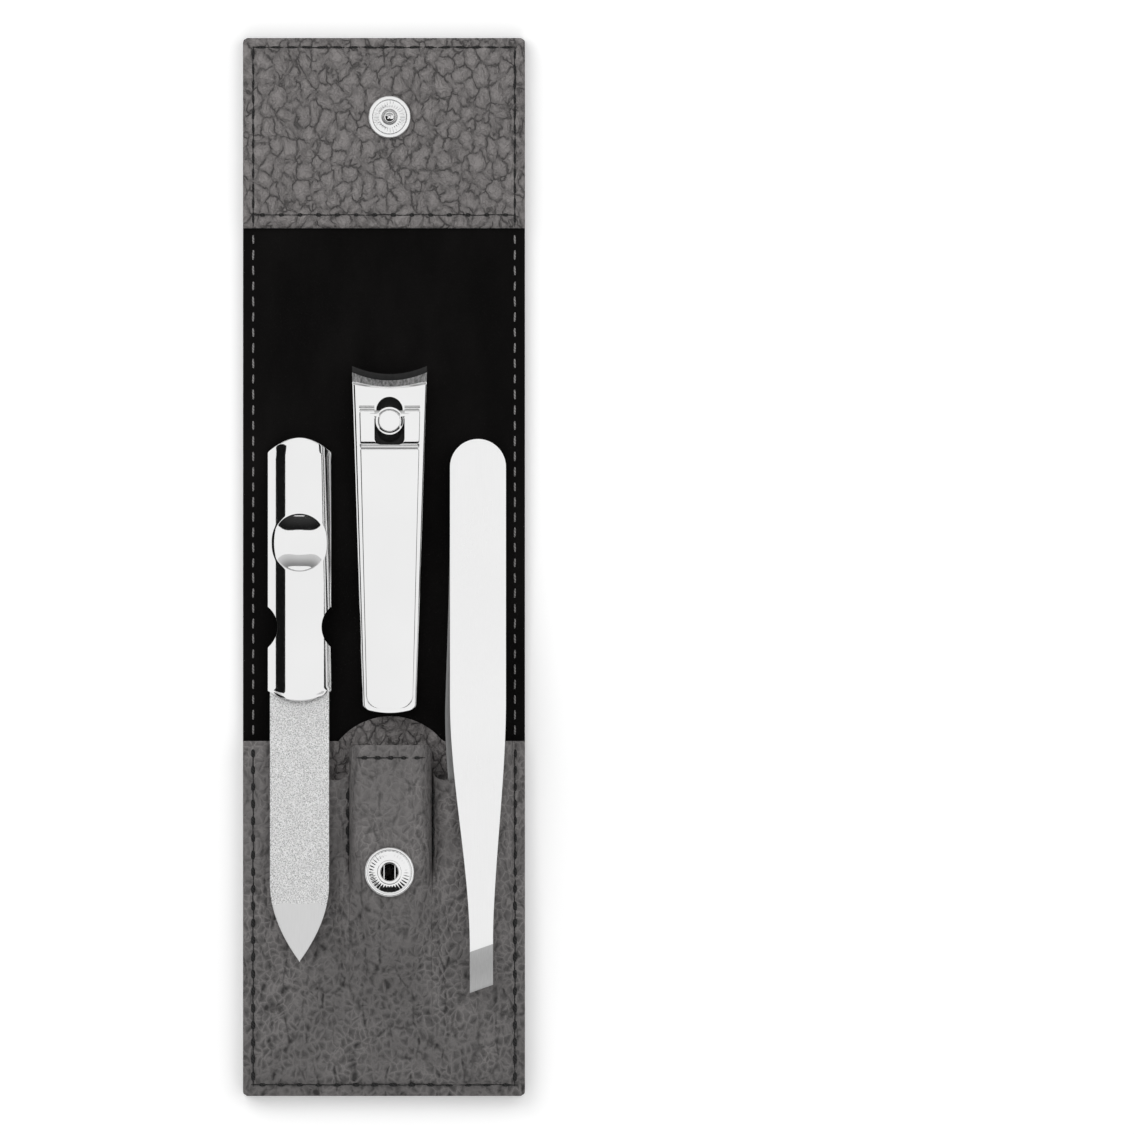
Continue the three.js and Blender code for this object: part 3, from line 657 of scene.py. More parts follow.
def notch_share(x):
    """0 outside the notches and 1 well inside them, with round corners."""
    for low_x, high_x in ((LEFT_NOTCH_X, MIDDLE_LOW), (MIDDLE_HIGH, RIGHT_NOTCH_X)):
        if low_x <= x <= high_x:
            inside = min(x - low_x, high_x - x)
            t = clamp(inside / NOTCH_RADIUS)
            return 1 - (NOTCH_RADIUS / NOTCH_DEPTH) * (1 - math.sqrt(1 - (1 - t) ** 2))
    return 0.0


def mouth_at(x):
    """The pocket front's upper edge at x."""
    if MIDDLE_LOW < x < MIDDLE_HIGH:
        corner = clamp(min(x - MIDDLE_LOW, MIDDLE_HIGH - x) / TAB_CORNER)
        return MOUTH_Y - TAB_DROP - TAB_CORNER * (1 - math.sqrt(1 - (1 - corner) ** 2))
    return MOUTH_Y - NOTCH_DEPTH * notch_share(x)


def spaced(low, high, step):
    count = max(1, round((high - low) / step))
    return [low + (high - low) * i / count for i in range(count)]


def notch_columns(low, high):
    """Column places across a notch: its steep sides, round corners and floor."""
    turns = [1 - math.cos(math.pi / 2 * i / 6) for i in range(7)]
    left = [low + NOTCH_RADIUS * t for t in turns]
    right = [high - NOTCH_RADIUS * t for t in reversed(turns)]
    return [low - 0.001] + left + spaced(left[-1], right[0], 0.6)[1:] + right + [high + 0.001]


POCKET_COLUMNS = (
    spaced(-HALF_WIDTH, LEFT_NOTCH_X - 0.001, 0.6)
    + notch_columns(LEFT_NOTCH_X, MIDDLE_LOW)
    + spaced(MIDDLE_LOW + 0.15, MIDDLE_HIGH - 0.15, 0.42)
    + [MIDDLE_HIGH - 0.15]
    + notch_columns(MIDDLE_HIGH, RIGHT_NOTCH_X)
    + spaced(RIGHT_NOTCH_X + 0.3, HALF_WIDTH, 0.6)
    + [HALF_WIDTH]
)
POCKET_ROWS = 96


def wrinkle(x, y):
    """Soft waves of the leather over its contents, none at the seams."""
    wave = math.sin(x * 0.55 + y * 0.13) * math.sin(y * 0.21 - x * 0.17)
    calm = smooth((y - SEAM_Y) / 8) * smooth((SEAM_HIGH - abs(x)) / 4)
    away = smooth((math.hypot(x - SNAP_X, y - SOCKET_Y) - SOCKET_RADIUS - 1) / 4)
    return 0.09 * wave * calm * away


def pocket_place(side, along, layer):
    x = POCKET_COLUMNS[round((side + 1) / 2 * (len(POCKET_COLUMNS) - 1))]
    top = mouth_at(x)
    y = BOTTOM_Y + (top - BOTTOM_Y) * along
    half = end_half(y)
    rise = pocket_rise(x, y) + (wrinkle(x, y) if layer else 0)
    hem = 0.18 * smooth((y - top + 2.2) / 1.2) * (1 - smooth((y - top + 0.5) / 0.5))
    return clamp(x, -half, half), y, BASE_Z + rise + (POCKET_THICK + hem) * layer


pocket = slab("pocket_leather", len(POCKET_COLUMNS) - 1, POCKET_ROWS, pocket_place)
bored(pocket, SNAP_X, SOCKET_Y, BARREL_HOLE, BASE_Z, socket_high.z)
finished(pocket, [POCKET_LEATHER, EDGE], "case", ["pocket_front"], 60)
paint_where(pocket, 1, lambda centre, normal: abs(normal.z) < 0.2 and centre.y < BOTTOM_Y + 0.05)

DOME_X = 1.15
DOME_WIDTH = 17.7
DOME_LOW = DOME_X - DOME_WIDTH / 2
DOME_HIGH = DOME_X + DOME_WIDTH / 2
DOME_HEIGHT = divider_high.y - MOUTH_Y


def divider_place(side, along, layer):
    x = side * HALF_WIDTH
    share = clamp((x - DOME_LOW) / (DOME_HIGH - DOME_LOW))
    top = MOUTH_Y - 0.02 + DOME_HEIGHT * (4 * share * (1 - share)) ** 0.8
    y = BOTTOM_Y + (top - BOTTOM_Y) * along**0.6
    half = end_half(y)
    lift = 0.0 if abs(x) > HALF_WIDTH - 2 or not layer else 0.03 * math.sin(x * 0.9)
    return clamp(x, -half, half), y, BASE_Z + lift if layer else INNER_Z


divider = slab("divider_leather", 80, 24, divider_place)
finished(divider, [DARK_LEATHER, EDGE], "case", ["pocket_divider"], 50)


# Facing of the flap, pressed in along its stitches
FACING_INSET = 1.7
STUD_RADIUS = 3.7


def facing_place(side, along, layer):
    y = facing_low.y + (FLAP_END_Y - facing_low.y) * along
    x = side * end_half(y)
    from_seam = min(
        abs(HALF_WIDTH - FACING_INSET - abs(x)),
        abs(FLAP_END_Y - FACING_INSET - y),
        abs(y - facing_low.y - 2.0),
    )
    crown = 0.16 * smooth(from_seam / 1.6) - 0.1
    flat = smooth((math.hypot(x - SNAP_X, y - STUD_Y) - STUD_RADIUS) / 2.5)
    wave = 0.05 * math.sin(x * 0.5 + 1) * math.sin(y * 0.4)
    edge = min(HALF_WIDTH - abs(x), FLAP_END_Y - y, y - facing_low.y)
    fall = 0.45 * (1 - smooth(edge / 0.7))
    top = FACING_Z + (crown + wave) * flat * smooth(edge / 1.2) - fall
    return x, y, top if layer else INNER_Z


STUD_Y = centre_of("snap_stud").y
facing = slab("facing_leather", 80, 56, facing_place)
finished(facing, [LEATHER], "flap", ["flap_facing"], 60)


# Thread: short raised stitches in rows, one mesh for each row
def stitch_mesh():
    """One stitch of unit length along Y, low at both ends where it dips into its holes."""
    deselect()
    bpy.ops.mesh.primitive_cylinder_add(vertices=8, radius=0.5, depth=1, rotation=ALONG_Y)
    stitch = added("stitch")
    with editing(stitch):
        for cut_y in (-0.36, -0.18, 0.0, 0.18, 0.36):
            bpy.ops.mesh.select_all(action="SELECT")
            bpy.ops.mesh.bisect(plane_co=(0, cut_y, 0), plane_no=(0, 1, 0))
    for vertex in stitch.data.vertices:
        along = abs(vertex.co.y) * 2
        slim = 1.0 - 0.55 * along**3
        vertex.co.x *= slim
        vertex.co.z = vertex.co.z * slim - 0.9 * along**4
    mesh = stitch.data.copy()
    bpy.data.objects.remove(stitch)
    return mesh


STITCH = stitch_mesh()


def stitch_row(name, start, end, surface, body=None, pitch=2.6, dash=1.85, thick=0.34, link=0.0):
    """Dark stitches from start to end, in millimetres, each lying on surface(x, y), and pale ones
    on the lining. Where link is a thickness, the thread shows thinly between them too."""
    length = math.dist(start, end)
    count = max(1, round(length / pitch))
    step_x, step_y = ((end[i] - start[i]) / length for i in range(2))
    heading = math.atan2(-step_x, step_y)
    threads = [(thick, dash), (link, pitch * 1.2)] if link else [(thick, dash)]
    pieces = []
    for index in range(count):
        middle = (index + 0.5) * length / count
        x = start[0] + step_x * middle
        y = start[1] + step_y * middle
        for width, reach in threads:
            piece = bpy.data.objects.new(f"{name}_{index}", STITCH.copy())
            bpy.context.scene.collection.objects.link(piece)
            uneven = reach * (1 + 0.07 * math.sin(index * 2.1))
            piece.scale = Vector((width, uneven, width * 0.6)) * MM
            piece.rotation_euler = (0, 0, heading + 0.05 * math.sin(index * 3.3))
            piece.location = Vector((x, y, surface(x, y) + 0.06)) * MM
            pieces.append(piece)
    only(pieces[0])
    for piece in pieces:
        piece.select_set(True)
    if len(pieces) > 1:
        bpy.ops.object.join()
    if surface is on_lining:
        return finished(added(name), [PALE_THREAD], body, angle=70)
    return finished(added(name), [DARK_THREAD], body, angle=70)


SIDE_SEAM_X = HALF_WIDTH - 1.75
END_SEAM_Y = FLAP_END_Y - 1.6
BOTTOM_SEAM_Y = BOTTOM_Y + 1.95
FACING_SEAM_Y = facing_low.y + 2.3
HEM_SEAM_Y = MOUTH_Y - 2.9


def on_lining(x, y):
    return INNER_Z


def on_facing(x, y):
    return FACING_Z - 0.1


def on_pocket(x, y):
    return BASE_Z + POCKET_THICK + pocket_rise(x, y)


def under_strip(x, y):
    return LEATHER_Z - 0.12


# What follows a row's surface and body is its pitch, dash, thickness and thickness between
for side, label in ((-1, "left"), (1, "right")):
    x = side * SIDE_SEAM_X
    low, high = (x, BOTTOM_SEAM_Y), (x, MOUTH_Y - 0.6)
    stitch_row(f"pocket_seam_{label}", low, high, on_pocket, "case", 3.0, 1.8, 0.72, 0.24)
    low, high = (x, facing_low.y + 0.5), (x, END_SEAM_Y)
    stitch_row(f"facing_seam_{label}", low, high, on_facing, "flap", 2.6, 2.1, 0.42, 0.2)
    for below, above, low_y, high_y, fold_y, stem in STRETCHES:
        for layer, surface, first_y, last_y in (
            ("lining", on_lining, MOUTH_Y + 0.6, facing_low.y - 0.6),
            ("outer", under_strip, BOTTOM_SEAM_Y, END_SEAM_Y),
        ):
            low, high = (x, max(low_y, first_y)), (x, min(high_y, last_y))
            row = stitch_row(f"{stem}_{layer}_seam_{label}", low, high, surface)
            bent(row, below, above, fold_y)

for name, y, *more in (
    ("pocket_seam_bottom", BOTTOM_SEAM_Y, on_pocket, "case", 3.3, 1.3, 0.62),
    ("facing_seam_end", END_SEAM_Y, on_facing, "flap", 2.6, 2.1, 0.42),
    ("facing_seam_edge", FACING_SEAM_Y, on_facing, "flap", 3.3, 1.1, 0.6),
    ("outer_seam_bottom", BOTTOM_SEAM_Y, under_strip, "case", 2.6, 1.9, 0.34),
    ("outer_seam_end", END_SEAM_Y, under_strip, "flap", 2.6, 1.9, 0.34),
):
    stitch_row(name, (-SIDE_SEAM_X, y), (SIDE_SEAM_X, y), *more, 0.2)

for x, label in ((MIDDLE_LOW - 0.2, "left"), (MIDDLE_HIGH + 0.2, "right")):
    low, high = (x, STITCH_END_Y), (x, MOUTH_Y - NOTCH_DEPTH - 1.2)
    stitch_row(f"tab_seam_{label}", low, high, on_pocket, "case", 2.7, 1.9, 0.85, 0.3)
low, high = (MIDDLE_LOW + 1.5, HEM_SEAM_Y), (MIDDLE_HIGH - 1.5, HEM_SEAM_Y)
stitch_row("tab_hem_seam", low, high, on_pocket, "case", 2.3, 1.2, 0.62, 0.24)


# Snap: socket, barrel, spring wires, stud and its rivet
def ridged(piece, x, y, inner, outer, count, height):
    """Presses fine radial ridges into a ring of an upward face."""
    for vertex in piece.data.vertices:
        across = vertex.co / MM - Vector((x, y, 0))
        radius = math.hypot(across.x, across.y)
        if inner < radius < outer and vertex.normal.z > 0.3:
            turn = math.atan2(across.y, across.x)
            fade = smooth((radius - inner) / 0.25) * smooth((outer - radius) / 0.25)
            vertex.co.z += height * fade * math.cos(turn * count) * MM


CURVE_STEPS = 5


def curve_points(start, end, bulge):
    """Points from start to end on a quarter-round that bulges outwards, or else inwards."""
    made = []
    for index in range(CURVE_STEPS + 1):
        t = math.pi / 2 * index / CURVE_STEPS
        late, soon = 1 - math.cos(t), math.sin(t)
        across, up = (late, soon) if bulge else (soon, late)
        x = start[0] + (end[0] - start[0]) * across
        made.append((x, start[1] + (end[1] - start[1]) * up))
    return made


def raised(base, *points):
    """Profile points given as (radius, height above a base)."""
    return [(radius, base + height) for radius, height in points]


SOCKET_Z = socket_low.z
SOCKET_TOP = socket_high.z
socket_profile = (
    raised(SOCKET_Z, (2.2, 0), (SOCKET_RADIUS - 0.05, 0))
    + curve_points((SOCKET_RADIUS, SOCKET_Z + 0.15), (SOCKET_RADIUS - 0.35, SOCKET_TOP), True)
    + curve_points((SOCKET_RADIUS - 0.5, SOCKET_TOP), (3.68, SOCKET_TOP - 0.52), False)
    + raised(SOCKET_TOP, (3.3, -0.4), (2.9, -0.275), (2.5, -0.15))
    + curve_points((2.25, SOCKET_TOP - 0.12), (2.0, SOCKET_TOP), False)
    + raised(SOCKET_TOP, (1.8, 0), (1.6, -0.06), (1.55, -0.28), (2.2, -0.28))
)
socket = spun("socket_cap", socket_profile, SNAP_X, SOCKET_Y, 144)
ridged(socket, SNAP_X, SOCKET_Y, 2.3, 3.6, 36, 0.035)
finished(socket, [CHROME], "case", ["snap_socket"], 40)

base_low, base_high = corners("snap_socket_base")
flange = raised(base_low.z, (1.45, 0.1), (1.55, 0), (3.3, 0), (3.4, 0.1), (3.4, 0.5), (1.9, 0.5))
neck = raised(base_high.z, (1.9, -0.1), (1.8, 0), (1.55, 0), (1.45, -0.1))
barrel = spun("socket_barrel", flange + neck, SNAP_X, SOCKET_Y)
finished(barrel, [STEEL], "case", ["snap_socket_base"], 35)

for node in ("snap_spring_left", "snap_spring_right"):
    low, high = corners(node)
    name = node.replace("snap_spring", "spring_wire")
    wire = rod(name, (high.x - low.x) / 2, high.y - low.y, centre_of(node), ALONG_Y, 20)
    rounded(wire, 0.05)
    finished(wire, [CHROME], node, [node])

STUD_FLOOR = FACING_Z + 0.4
BALL_BOTTOM = STUD_FLOOR + 0.85
BALL_TOP = corners("snap_stud")[1].z
BALL_MID = (BALL_BOTTOM + BALL_TOP) / 2
BALL_HALF = (BALL_TOP - BALL_BOTTOM) / 2
BALL_RADIUS = 1.1
ball_profile = []
for step in range(2, 17):
    angle = -math.pi / 2 + math.pi * step / 18
    ball_profile.append((BALL_RADIUS * math.cos(angle), BALL_MID + BALL_HALF * math.sin(angle)))
stud_profile = (
    raised(FACING_Z, (0.02, 0), (3.4, 0))
    + curve_points((STUD_RADIUS, FACING_Z + 0.2), (3.45, FACING_Z + 0.6), True)
    + curve_points((3.2, FACING_Z + 0.6), (2.85, STUD_FLOOR), False)
    + raised(STUD_FLOOR, (2.4, -0.02), (1.9, 0), (1.65, 0.12), (1.35, 0.12), (1.1, 0.02))
    + raised(STUD_FLOOR, (0.6, 0), (0.5, 0.1))
    + [(0.5, BALL_BOTTOM)]
    + ball_profile
    + raised(BALL_TOP, (0.28, -0.02), (0.2, -0.22), (0.02, -0.24))
)
stud = spun("stud_disc", stud_profile, SNAP_X, STUD_Y, 144)
ridged(stud, SNAP_X, STUD_Y, 1.7, 3.0, 30, 0.05)
finished(stud, [CHROME], "flap", ["snap_stud"], 40)


# Copies of solids whose shape is right, with their edges eased
def eased(name, node, width, finish, body, segments=2):
    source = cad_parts[node]
    piece = bpy.data.objects.new(name, source.data.copy())
    bpy.context.scene.collection.objects.link(piece)
    with editing(piece):
        bpy.ops.mesh.remove_doubles(threshold=MERGE_DISTANCE)
        bpy.ops.mesh.dissolve_limited(angle_limit=math.radians(2))
    rounded(piece, width, segments)
    finished(piece, [finish], body, [node])


eased("stud_rivet", "snap_stud_post", 0.08, STEEL, "flap")
eased("badge_rim", "badge_frame", 0.1, CHROME, "flap", 3)
eased("badge_inlay", "badge_plate", 0.04, INLAY, "flap")


# File: a pressed sheet handle and a flat blade, both on the slope that the file lies at
handle_low, handle_high = corners("file_handle")
FILE_X = centre_of("file_handle").x
FILE_LENGTH = 90.3
FILE_REACH = 52.07
FILE_TILT = math.asin((BASE_Z + LEFT_RISE + POCKET_THICK - INNER_Z) / FILE_REACH)
FILE_END_Y = handle_high.y
FILE_Z = INNER_Z + 0.3
HANDLE_LENGTH = 43.6
HANDLE_WIDTH = handle_high.x - handle_low.x
HANDLE_THICK = 0.7
HANDLE_RISE = 0.35
HANDLE_CROWN = 2.2
HANDLE_BOW = 1.7
END_CORNER = 0.6
END_SHARE = 0.95
BITE_RADIUS = 4.54
BITE_Y = -32.6
BITE_OUTSIDE = 2.89
DIMPLE_RADIUS = 4.95
DIMPLE_Y = -18.1
BLADE_TOP = -HANDLE_LENGTH - 2.0
BLADE_THICK = 0.9
BLADE_RISE = 0.35
BLADE_HALF = 5.1
BLADE_POINT = 13.5
TANG_HALF = 2.98
TANG_INSIDE = 18


def sloped(x, y, z):
    """A place on the file, whose end is at zero, set on the slope it lies at."""
    cosine = math.cos(FILE_TILT)
    sine = math.sin(FILE_TILT)
    return FILE_X + x, FILE_END_Y + y * cosine + z * sine, FILE_Z - y * sine + z * cosine


def round_half(half, distance):
    inside = clamp(1 - distance / half)
    return half * math.sqrt(max(1 - inside * inside, 0.0004))


def blunt_half(half, distance, corner):
    """Half the width of a bar whose end has rounded corners, at a distance from that end."""
    return half - corner + round_half(corner, distance) if distance < corner else half


def handle_half(y):
    """Half the handle's width, with a round bite out of each side."""
    bite = math.sqrt(max(BITE_RADIUS**2 - (y - BITE_Y) ** 2, 0.0)) - BITE_OUTSIDE
    return blunt_half(HANDLE_WIDTH / 2, -y, END_CORNER) - max(bite, 0.0)


def handle_arch(x, y):
    """The pressed crown of the handle, with its round dimple."""
    side = clamp(2 * abs(x) / HANDLE_WIDTH)
    crown = HANDLE_CROWN * (1 - side**2.5) * smooth(0.75 - y / HANDLE_WIDTH)
    away = min(math.hypot(x, y - DIMPLE_Y) / DIMPLE_RADIUS, 1.0)
    return HANDLE_RISE + (crown - HANDLE_RISE) * away**2.4


def handle_place(side, along, layer):
    """Even rows, then rows that crowd towards the end's corners; columns crowd at the sides."""
    if along < END_SHARE:
        y = -HANDLE_LENGTH + (HANDLE_LENGTH - END_CORNER) * along / END_SHARE
    else:
        turn = math.pi / 2 * (along - END_SHARE) / (1 - END_SHARE)
        y = END_CORNER * (math.sin(turn) - 1)
    turn = math.sin(side * math.pi / 2)
    x = handle_half(y) * turn
    near_end = smooth((6 - HANDLE_LENGTH - y) / 6)
    bow = HANDLE_BOW * (1 - turn * turn) * near_end + 2.1 * turn * turn * smooth(1 + y / 8)
    lip = 0.2 * smooth(1 - (y + HANDLE_LENGTH) / 1.0)
    return sloped(x, y - bow, handle_arch(x, y) + (HANDLE_THICK + lip) * layer)


handle = slab("file_handle_shell", 96, 240, handle_place)
rounded(handle, 0.12, 2, 50)
finished(handle, [CHROME], "file", ["file_handle"], 50)


def blade_half(y):
    from_tip = clamp((y + FILE_LENGTH) / BLADE_POINT)
    return BLADE_HALF * max(1 - (1 - from_tip) ** 1.95, 0.02)


def blade_place(side, along, layer):
    """The shoulders of the blade follow the handle's bowed end."""
    top = -HANDLE_LENGTH - HANDLE_BOW * (1 - side * side) - 0.12
    y = -FILE_LENGTH + (top + FILE_LENGTH) * along**1.5
    half = blade_half(y)
    return sloped(side * half, y, BLADE_RISE + BLADE_THICK * layer)


TIP_START_Y = FILE_END_Y - (FILE_LENGTH - 10.0) * math.cos(FILE_TILT)


def on_grit(centre, normal):
    flat = abs(normal.z) > 0.8
    return flat and centre.y > TIP_START_Y and abs(centre.x - FILE_X) < 4.9


blade = slab("file_blade_plate", 16, 90, blade_place)
rounded(blade, 0.1, 2, 40)
finished(blade, [TIP_STEEL, GRIT], "file", ["file_blade"], 30)
paint_where(blade, 1, on_grit)


def tang_place(side, along, layer):
    y = BLADE_TOP - 0.4 + (-HANDLE_LENGTH + TANG_INSIDE - BLADE_TOP + 0.4) * along
    return sloped(side * TANG_HALF, y, BLADE_RISE + 0.01 + (BLADE_THICK - 0.02) * layer)


tang = slab("file_tang", 6, 12, tang_place)
rounded(tang, 0.1)
finished(tang, [TIP_STEEL], "file")


# Nail clipper: its jaws, the rivet at the tail, the pin and the lever
jaw_low = corners("clipper_lower_jaw")[0]
pin_low, pin_high = corners("clipper_pin")
lever_low, lever_high = corners("clipper_lever")
CLIP_X = centre_of("clipper_lower_jaw").x
TAIL_Y = jaw_low.y
CLIP_LENGTH = 59.8
HEAD_Y = TAIL_Y + CLIP_LENGTH
TAIL_WIDTH = 9.2
WIDENING = 3.7
JAW_Z = pin_low.z
UPPER_Z = JAW_Z + 1.25
JAW_THICK = 1.1
PIN_Y = centre_of("clipper_pin").y
RIVET_Y = centre_of("clipper_tail_rivet").y
BAND = 4.2
BEVEL = 1.6
HOLLOW = 1.4
UPPER_SHORTER = 1.1
HEAD_LENGTH = 9
CAM_RADIUS = 1.5
CAM_Z = pin_high.z - 2.0
BAR_Y = lever_high.y - CAM_RADIUS
LEVER_TAIL = lever_low.y
KNEE_Y = BAR_Y - 5.5
EAR_Y = (KNEE_Y + BAR_Y + CAM_RADIUS) / 2
EAR_REACH = (BAR_Y + CAM_RADIUS - KNEE_Y) / 2
LEVER_THICK = 1.2
WINDOW_HALF = 2.6
WINDOW_LOW = BAR_Y - 5.1


def jaw_half(y):
    return blunt_half((TAIL_WIDTH + WIDENING * (y - TAIL_Y) / CLIP_LENGTH) / 2, y - TAIL_Y, 1.0)


def jaw_row(along):
    """Rows crowd at the round tail and over the ground head."""
    if along < 0.15:
        return TAIL_Y + 1.0 - math.cos(math.pi / 2 * along / 0.15)
    if along < 0.55:
        return TAIL_Y + 1.0 + (HEAD_Y - HEAD_LENGTH - 1 - TAIL_Y) * (along - 0.15) / 0.4
    return HEAD_Y - HEAD_LENGTH + HEAD_LENGTH * (along - 0.55) / 0.45


def jaw_grind(y):
    """The dropped band behind the edge, then the bevel down to the edge, each with its crease."""
    band = 0.25 * smooth((y - HEAD_Y + BEVEL + 0.8) / 0.8)
    bevel = 0.5 * clamp((y - HEAD_Y + BEVEL) / BEVEL)
    return band + bevel


def jaw_bend(y):
    return 0.3 * smooth(1 - (HEAD_Y - y) / (2 * BAND))


def upper_jaw_z(y):
    rise = 1.65 * smooth((y - TAIL_Y - 2.1) / (PIN_Y - TAIL_Y))
    return UPPER_Z + rise + 0.3 * smooth((y - PIN_Y) / 9.46)


def edge_slide(y, side):
    """The hollow cutting edge at the head and the shallow bow of the tail."""
    at_head = HOLLOW * (1 - side * side) * smooth(1 - (HEAD_Y - y) / BAND)
    return 0.5 * side * side * smooth(1 - (y - TAIL_Y) / 9.2) - at_head


def crowded(side):
    """Moves a column towards the sides, where the edges are round."""
    return math.sin(side * math.pi / 2)


def lower_jaw_place(side, along, layer):
    side = crowded(side)
    y = jaw_row(along)
    z = JAW_Z + jaw_bend(y) + (JAW_THICK if layer else jaw_grind(y))
    return CLIP_X + side * jaw_half(y), y + edge_slide(y, side), z


def upper_jaw_y(y, side):
    """The upper jaw stops just short of the lower one's edge."""
    short = UPPER_SHORTER * smooth((y - HEAD_Y + HEAD_LENGTH) / HEAD_LENGTH)
    return y + edge_slide(y, side) - short


def upper_jaw_place(side, along, layer):
    """A plate with round long edges."""
    side = crowded(side)
    y = jaw_row(along)
    fall = 0.3 * clamp((abs(side) - 0.9) / 0.1) ** 2
    z = upper_jaw_z(y) + (JAW_THICK - jaw_grind(y) - fall) * layer
    return CLIP_X + side * jaw_half(y), upper_jaw_y(y, side), z


lower_jaw = slab("clipper_jaw_lower", 40, 130, lower_jaw_place)
bored(lower_jaw, CLIP_X, PIN_Y, 1.5, JAW_Z - 1, UPPER_Z + 1)
bored(lower_jaw, CLIP_X, PIN_Y, 2.3, JAW_Z - 1, JAW_Z + 0.6)
bored(lower_jaw, CLIP_X, RIVET_Y, 1.5, JAW_Z - 1, UPPER_Z + 1)
rounded(lower_jaw, 0.1)
lower_node, upper_node = "clipper_lower_jaw", "clipper_upper_jaw"
finished(lower_jaw, [STEEL, GROUND, PAINTED_SHADE], "clipper_base", [lower_node], 30)
BAND_Y = HEAD_Y - BAND - 1
paint_where(lower_jaw, 1, lambda centre, normal: centre.y > BAND_Y and abs(normal.z) > 0.3)
# The lower jaw's upward faces, in shadow under the upper jaw, get painted shade
paint_where(lower_jaw, 2, lambda centre, normal: normal.z > 0.3)


def on_band(centre, normal):
    """The ground band of the upper jaw, along its hollow edge."""
    side = (centre.x - CLIP_X) / jaw_half(HEAD_Y)
    return normal.z > 0.3 and centre.y > upper_jaw_y(HEAD_Y - BEVEL, side)


def under_window(centre, normal):
    """What shows of the upper jaw through the lever's window, where it gets painted shade."""
    seen = abs(centre.x - CLIP_X) < WINDOW_HALF + 0.2
    return normal.z > 0.3 and seen and WINDOW_LOW - 0.5 < centre.y < PIN_Y + 1.2


upper_jaw = slab("clipper_jaw_upper", 40, 130, upper_jaw_place)
bored(upper_jaw, CLIP_X, PIN_Y + 1.9, 2.25, JAW_Z, CAM_Z)
bored(upper_jaw, CLIP_X, PIN_Y - 1.6, 2.1, JAW_Z, CAM_Z)
bored(upper_jaw, CLIP_X, RIVET_Y, 1.5, JAW_Z, CAM_Z)
rounded(upper_jaw, 0.1)
finished(upper_jaw, [CHROME, GROUND, PAINTED_SHADE], upper_node, [upper_node], 45)
paint_where(upper_jaw, 1, on_band)
# Painted shade on the upper jaw under the lever's window
paint_where(upper_jaw, 2, under_window)

eased("tail_rivet", "clipper_tail_rivet", 0.08, STEEL, "clipper_base")

HEAD_RADIUS = 1.9
NECK_RADIUS = HEAD_RADIUS - 0.12
pin_profile = (
    raised(JAW_Z, (0.005, 0), (1.9, 0), (2.0, 0.1), (2.0, 0.4), (1.2, 0.45))
    + raised(CAM_Z, (1.2, -1.3), (HEAD_RADIUS, -1.3))
    + raised(pin_high.z, (HEAD_RADIUS, -1.15), (2.36, -1.1), (2.42, -1.0), (2.36, -0.9))
    + raised(pin_high.z, (HEAD_RADIUS, -0.62), (NECK_RADIUS, -0.55), (NECK_RADIUS, -0.34))
    + raised(pin_high.z, (HEAD_RADIUS, -0.26), (HEAD_RADIUS, -0.16), (HEAD_RADIUS - 0.06, -0.05))
    + raised(pin_high.z, (HEAD_RADIUS - 0.16, 0), (0.005, 0))
)
CAM = (CLIP_X, BAR_Y, CAM_Z)
pin = spun("clipper_pin_post", pin_profile, CLIP_X, PIN_Y, 96)
cut(pin, rod("rod", 1.1, 6, CAM, ALONG_X))
rounded(pin, 0.06, 2, 40)
finished(pin, [CHROME], "clipper_pin", ["clipper_pin"], 35)


LEVER_WIDTH = 10.5
TAIL_CORNER = 2.2


def lever_half(y):
    narrowing = 2.4 * clamp((BAR_Y - y) / (BAR_Y - LEVER_TAIL))
    return blunt_half((LEVER_WIDTH - narrowing) / 2, y - LEVER_TAIL, TAIL_CORNER)


def lever_row(along):
    """Rows crowd at the round tail, over the knee and round the cam."""
    if along < 0.15:
        return LEVER_TAIL + TAIL_CORNER * (1 - math.cos(math.pi / 2 * along / 0.15))
    if along < 0.45:
        flat = KNEE_Y - 1 - TAIL_CORNER - LEVER_TAIL
        return LEVER_TAIL + TAIL_CORNER + flat * (along - 0.15) / 0.3
    if along < 0.55:
        return KNEE_Y - 1 + (along - 0.45) / 0.1
    turn = math.pi * (along - 0.55) / 0.45
    return EAR_Y - EAR_REACH * math.cos(turn)


def lever_under(y):
    nose = 1.1 * clamp((y - BAR_Y) / CAM_RADIUS) ** 3
    return CAM_Z - CAM_RADIUS - 1.2 * clamp((KNEE_Y - y) / (KNEE_Y - LEVER_TAIL)) + nose


def lever_over(y, side):
    """A flat plate, a pressed crease, and ears arched like a low barrel."""
    bevel = 0.16 * clamp((abs(side) - 0.93) / 0.07) ** 2
    crease = 0.3 * math.exp(-(((y - KNEE_Y) / 0.36) ** 2))
    if y < KNEE_Y:
        return lever_under(y) + LEVER_THICK - crease - bevel
    across = clamp((y - EAR_Y) / EAR_REACH, -1, 1)
    arch = 1.1 * math.sqrt(1 - abs(across) ** 5)
    return CAM_Z - CAM_RADIUS + LEVER_THICK + arch - crease - bevel


def lever_place(side, along, layer):
    side = crowded(side)
    y = lever_row(along)
    return CLIP_X + side * lever_half(y), y, lever_over(y, side) if layer else lever_under(y)


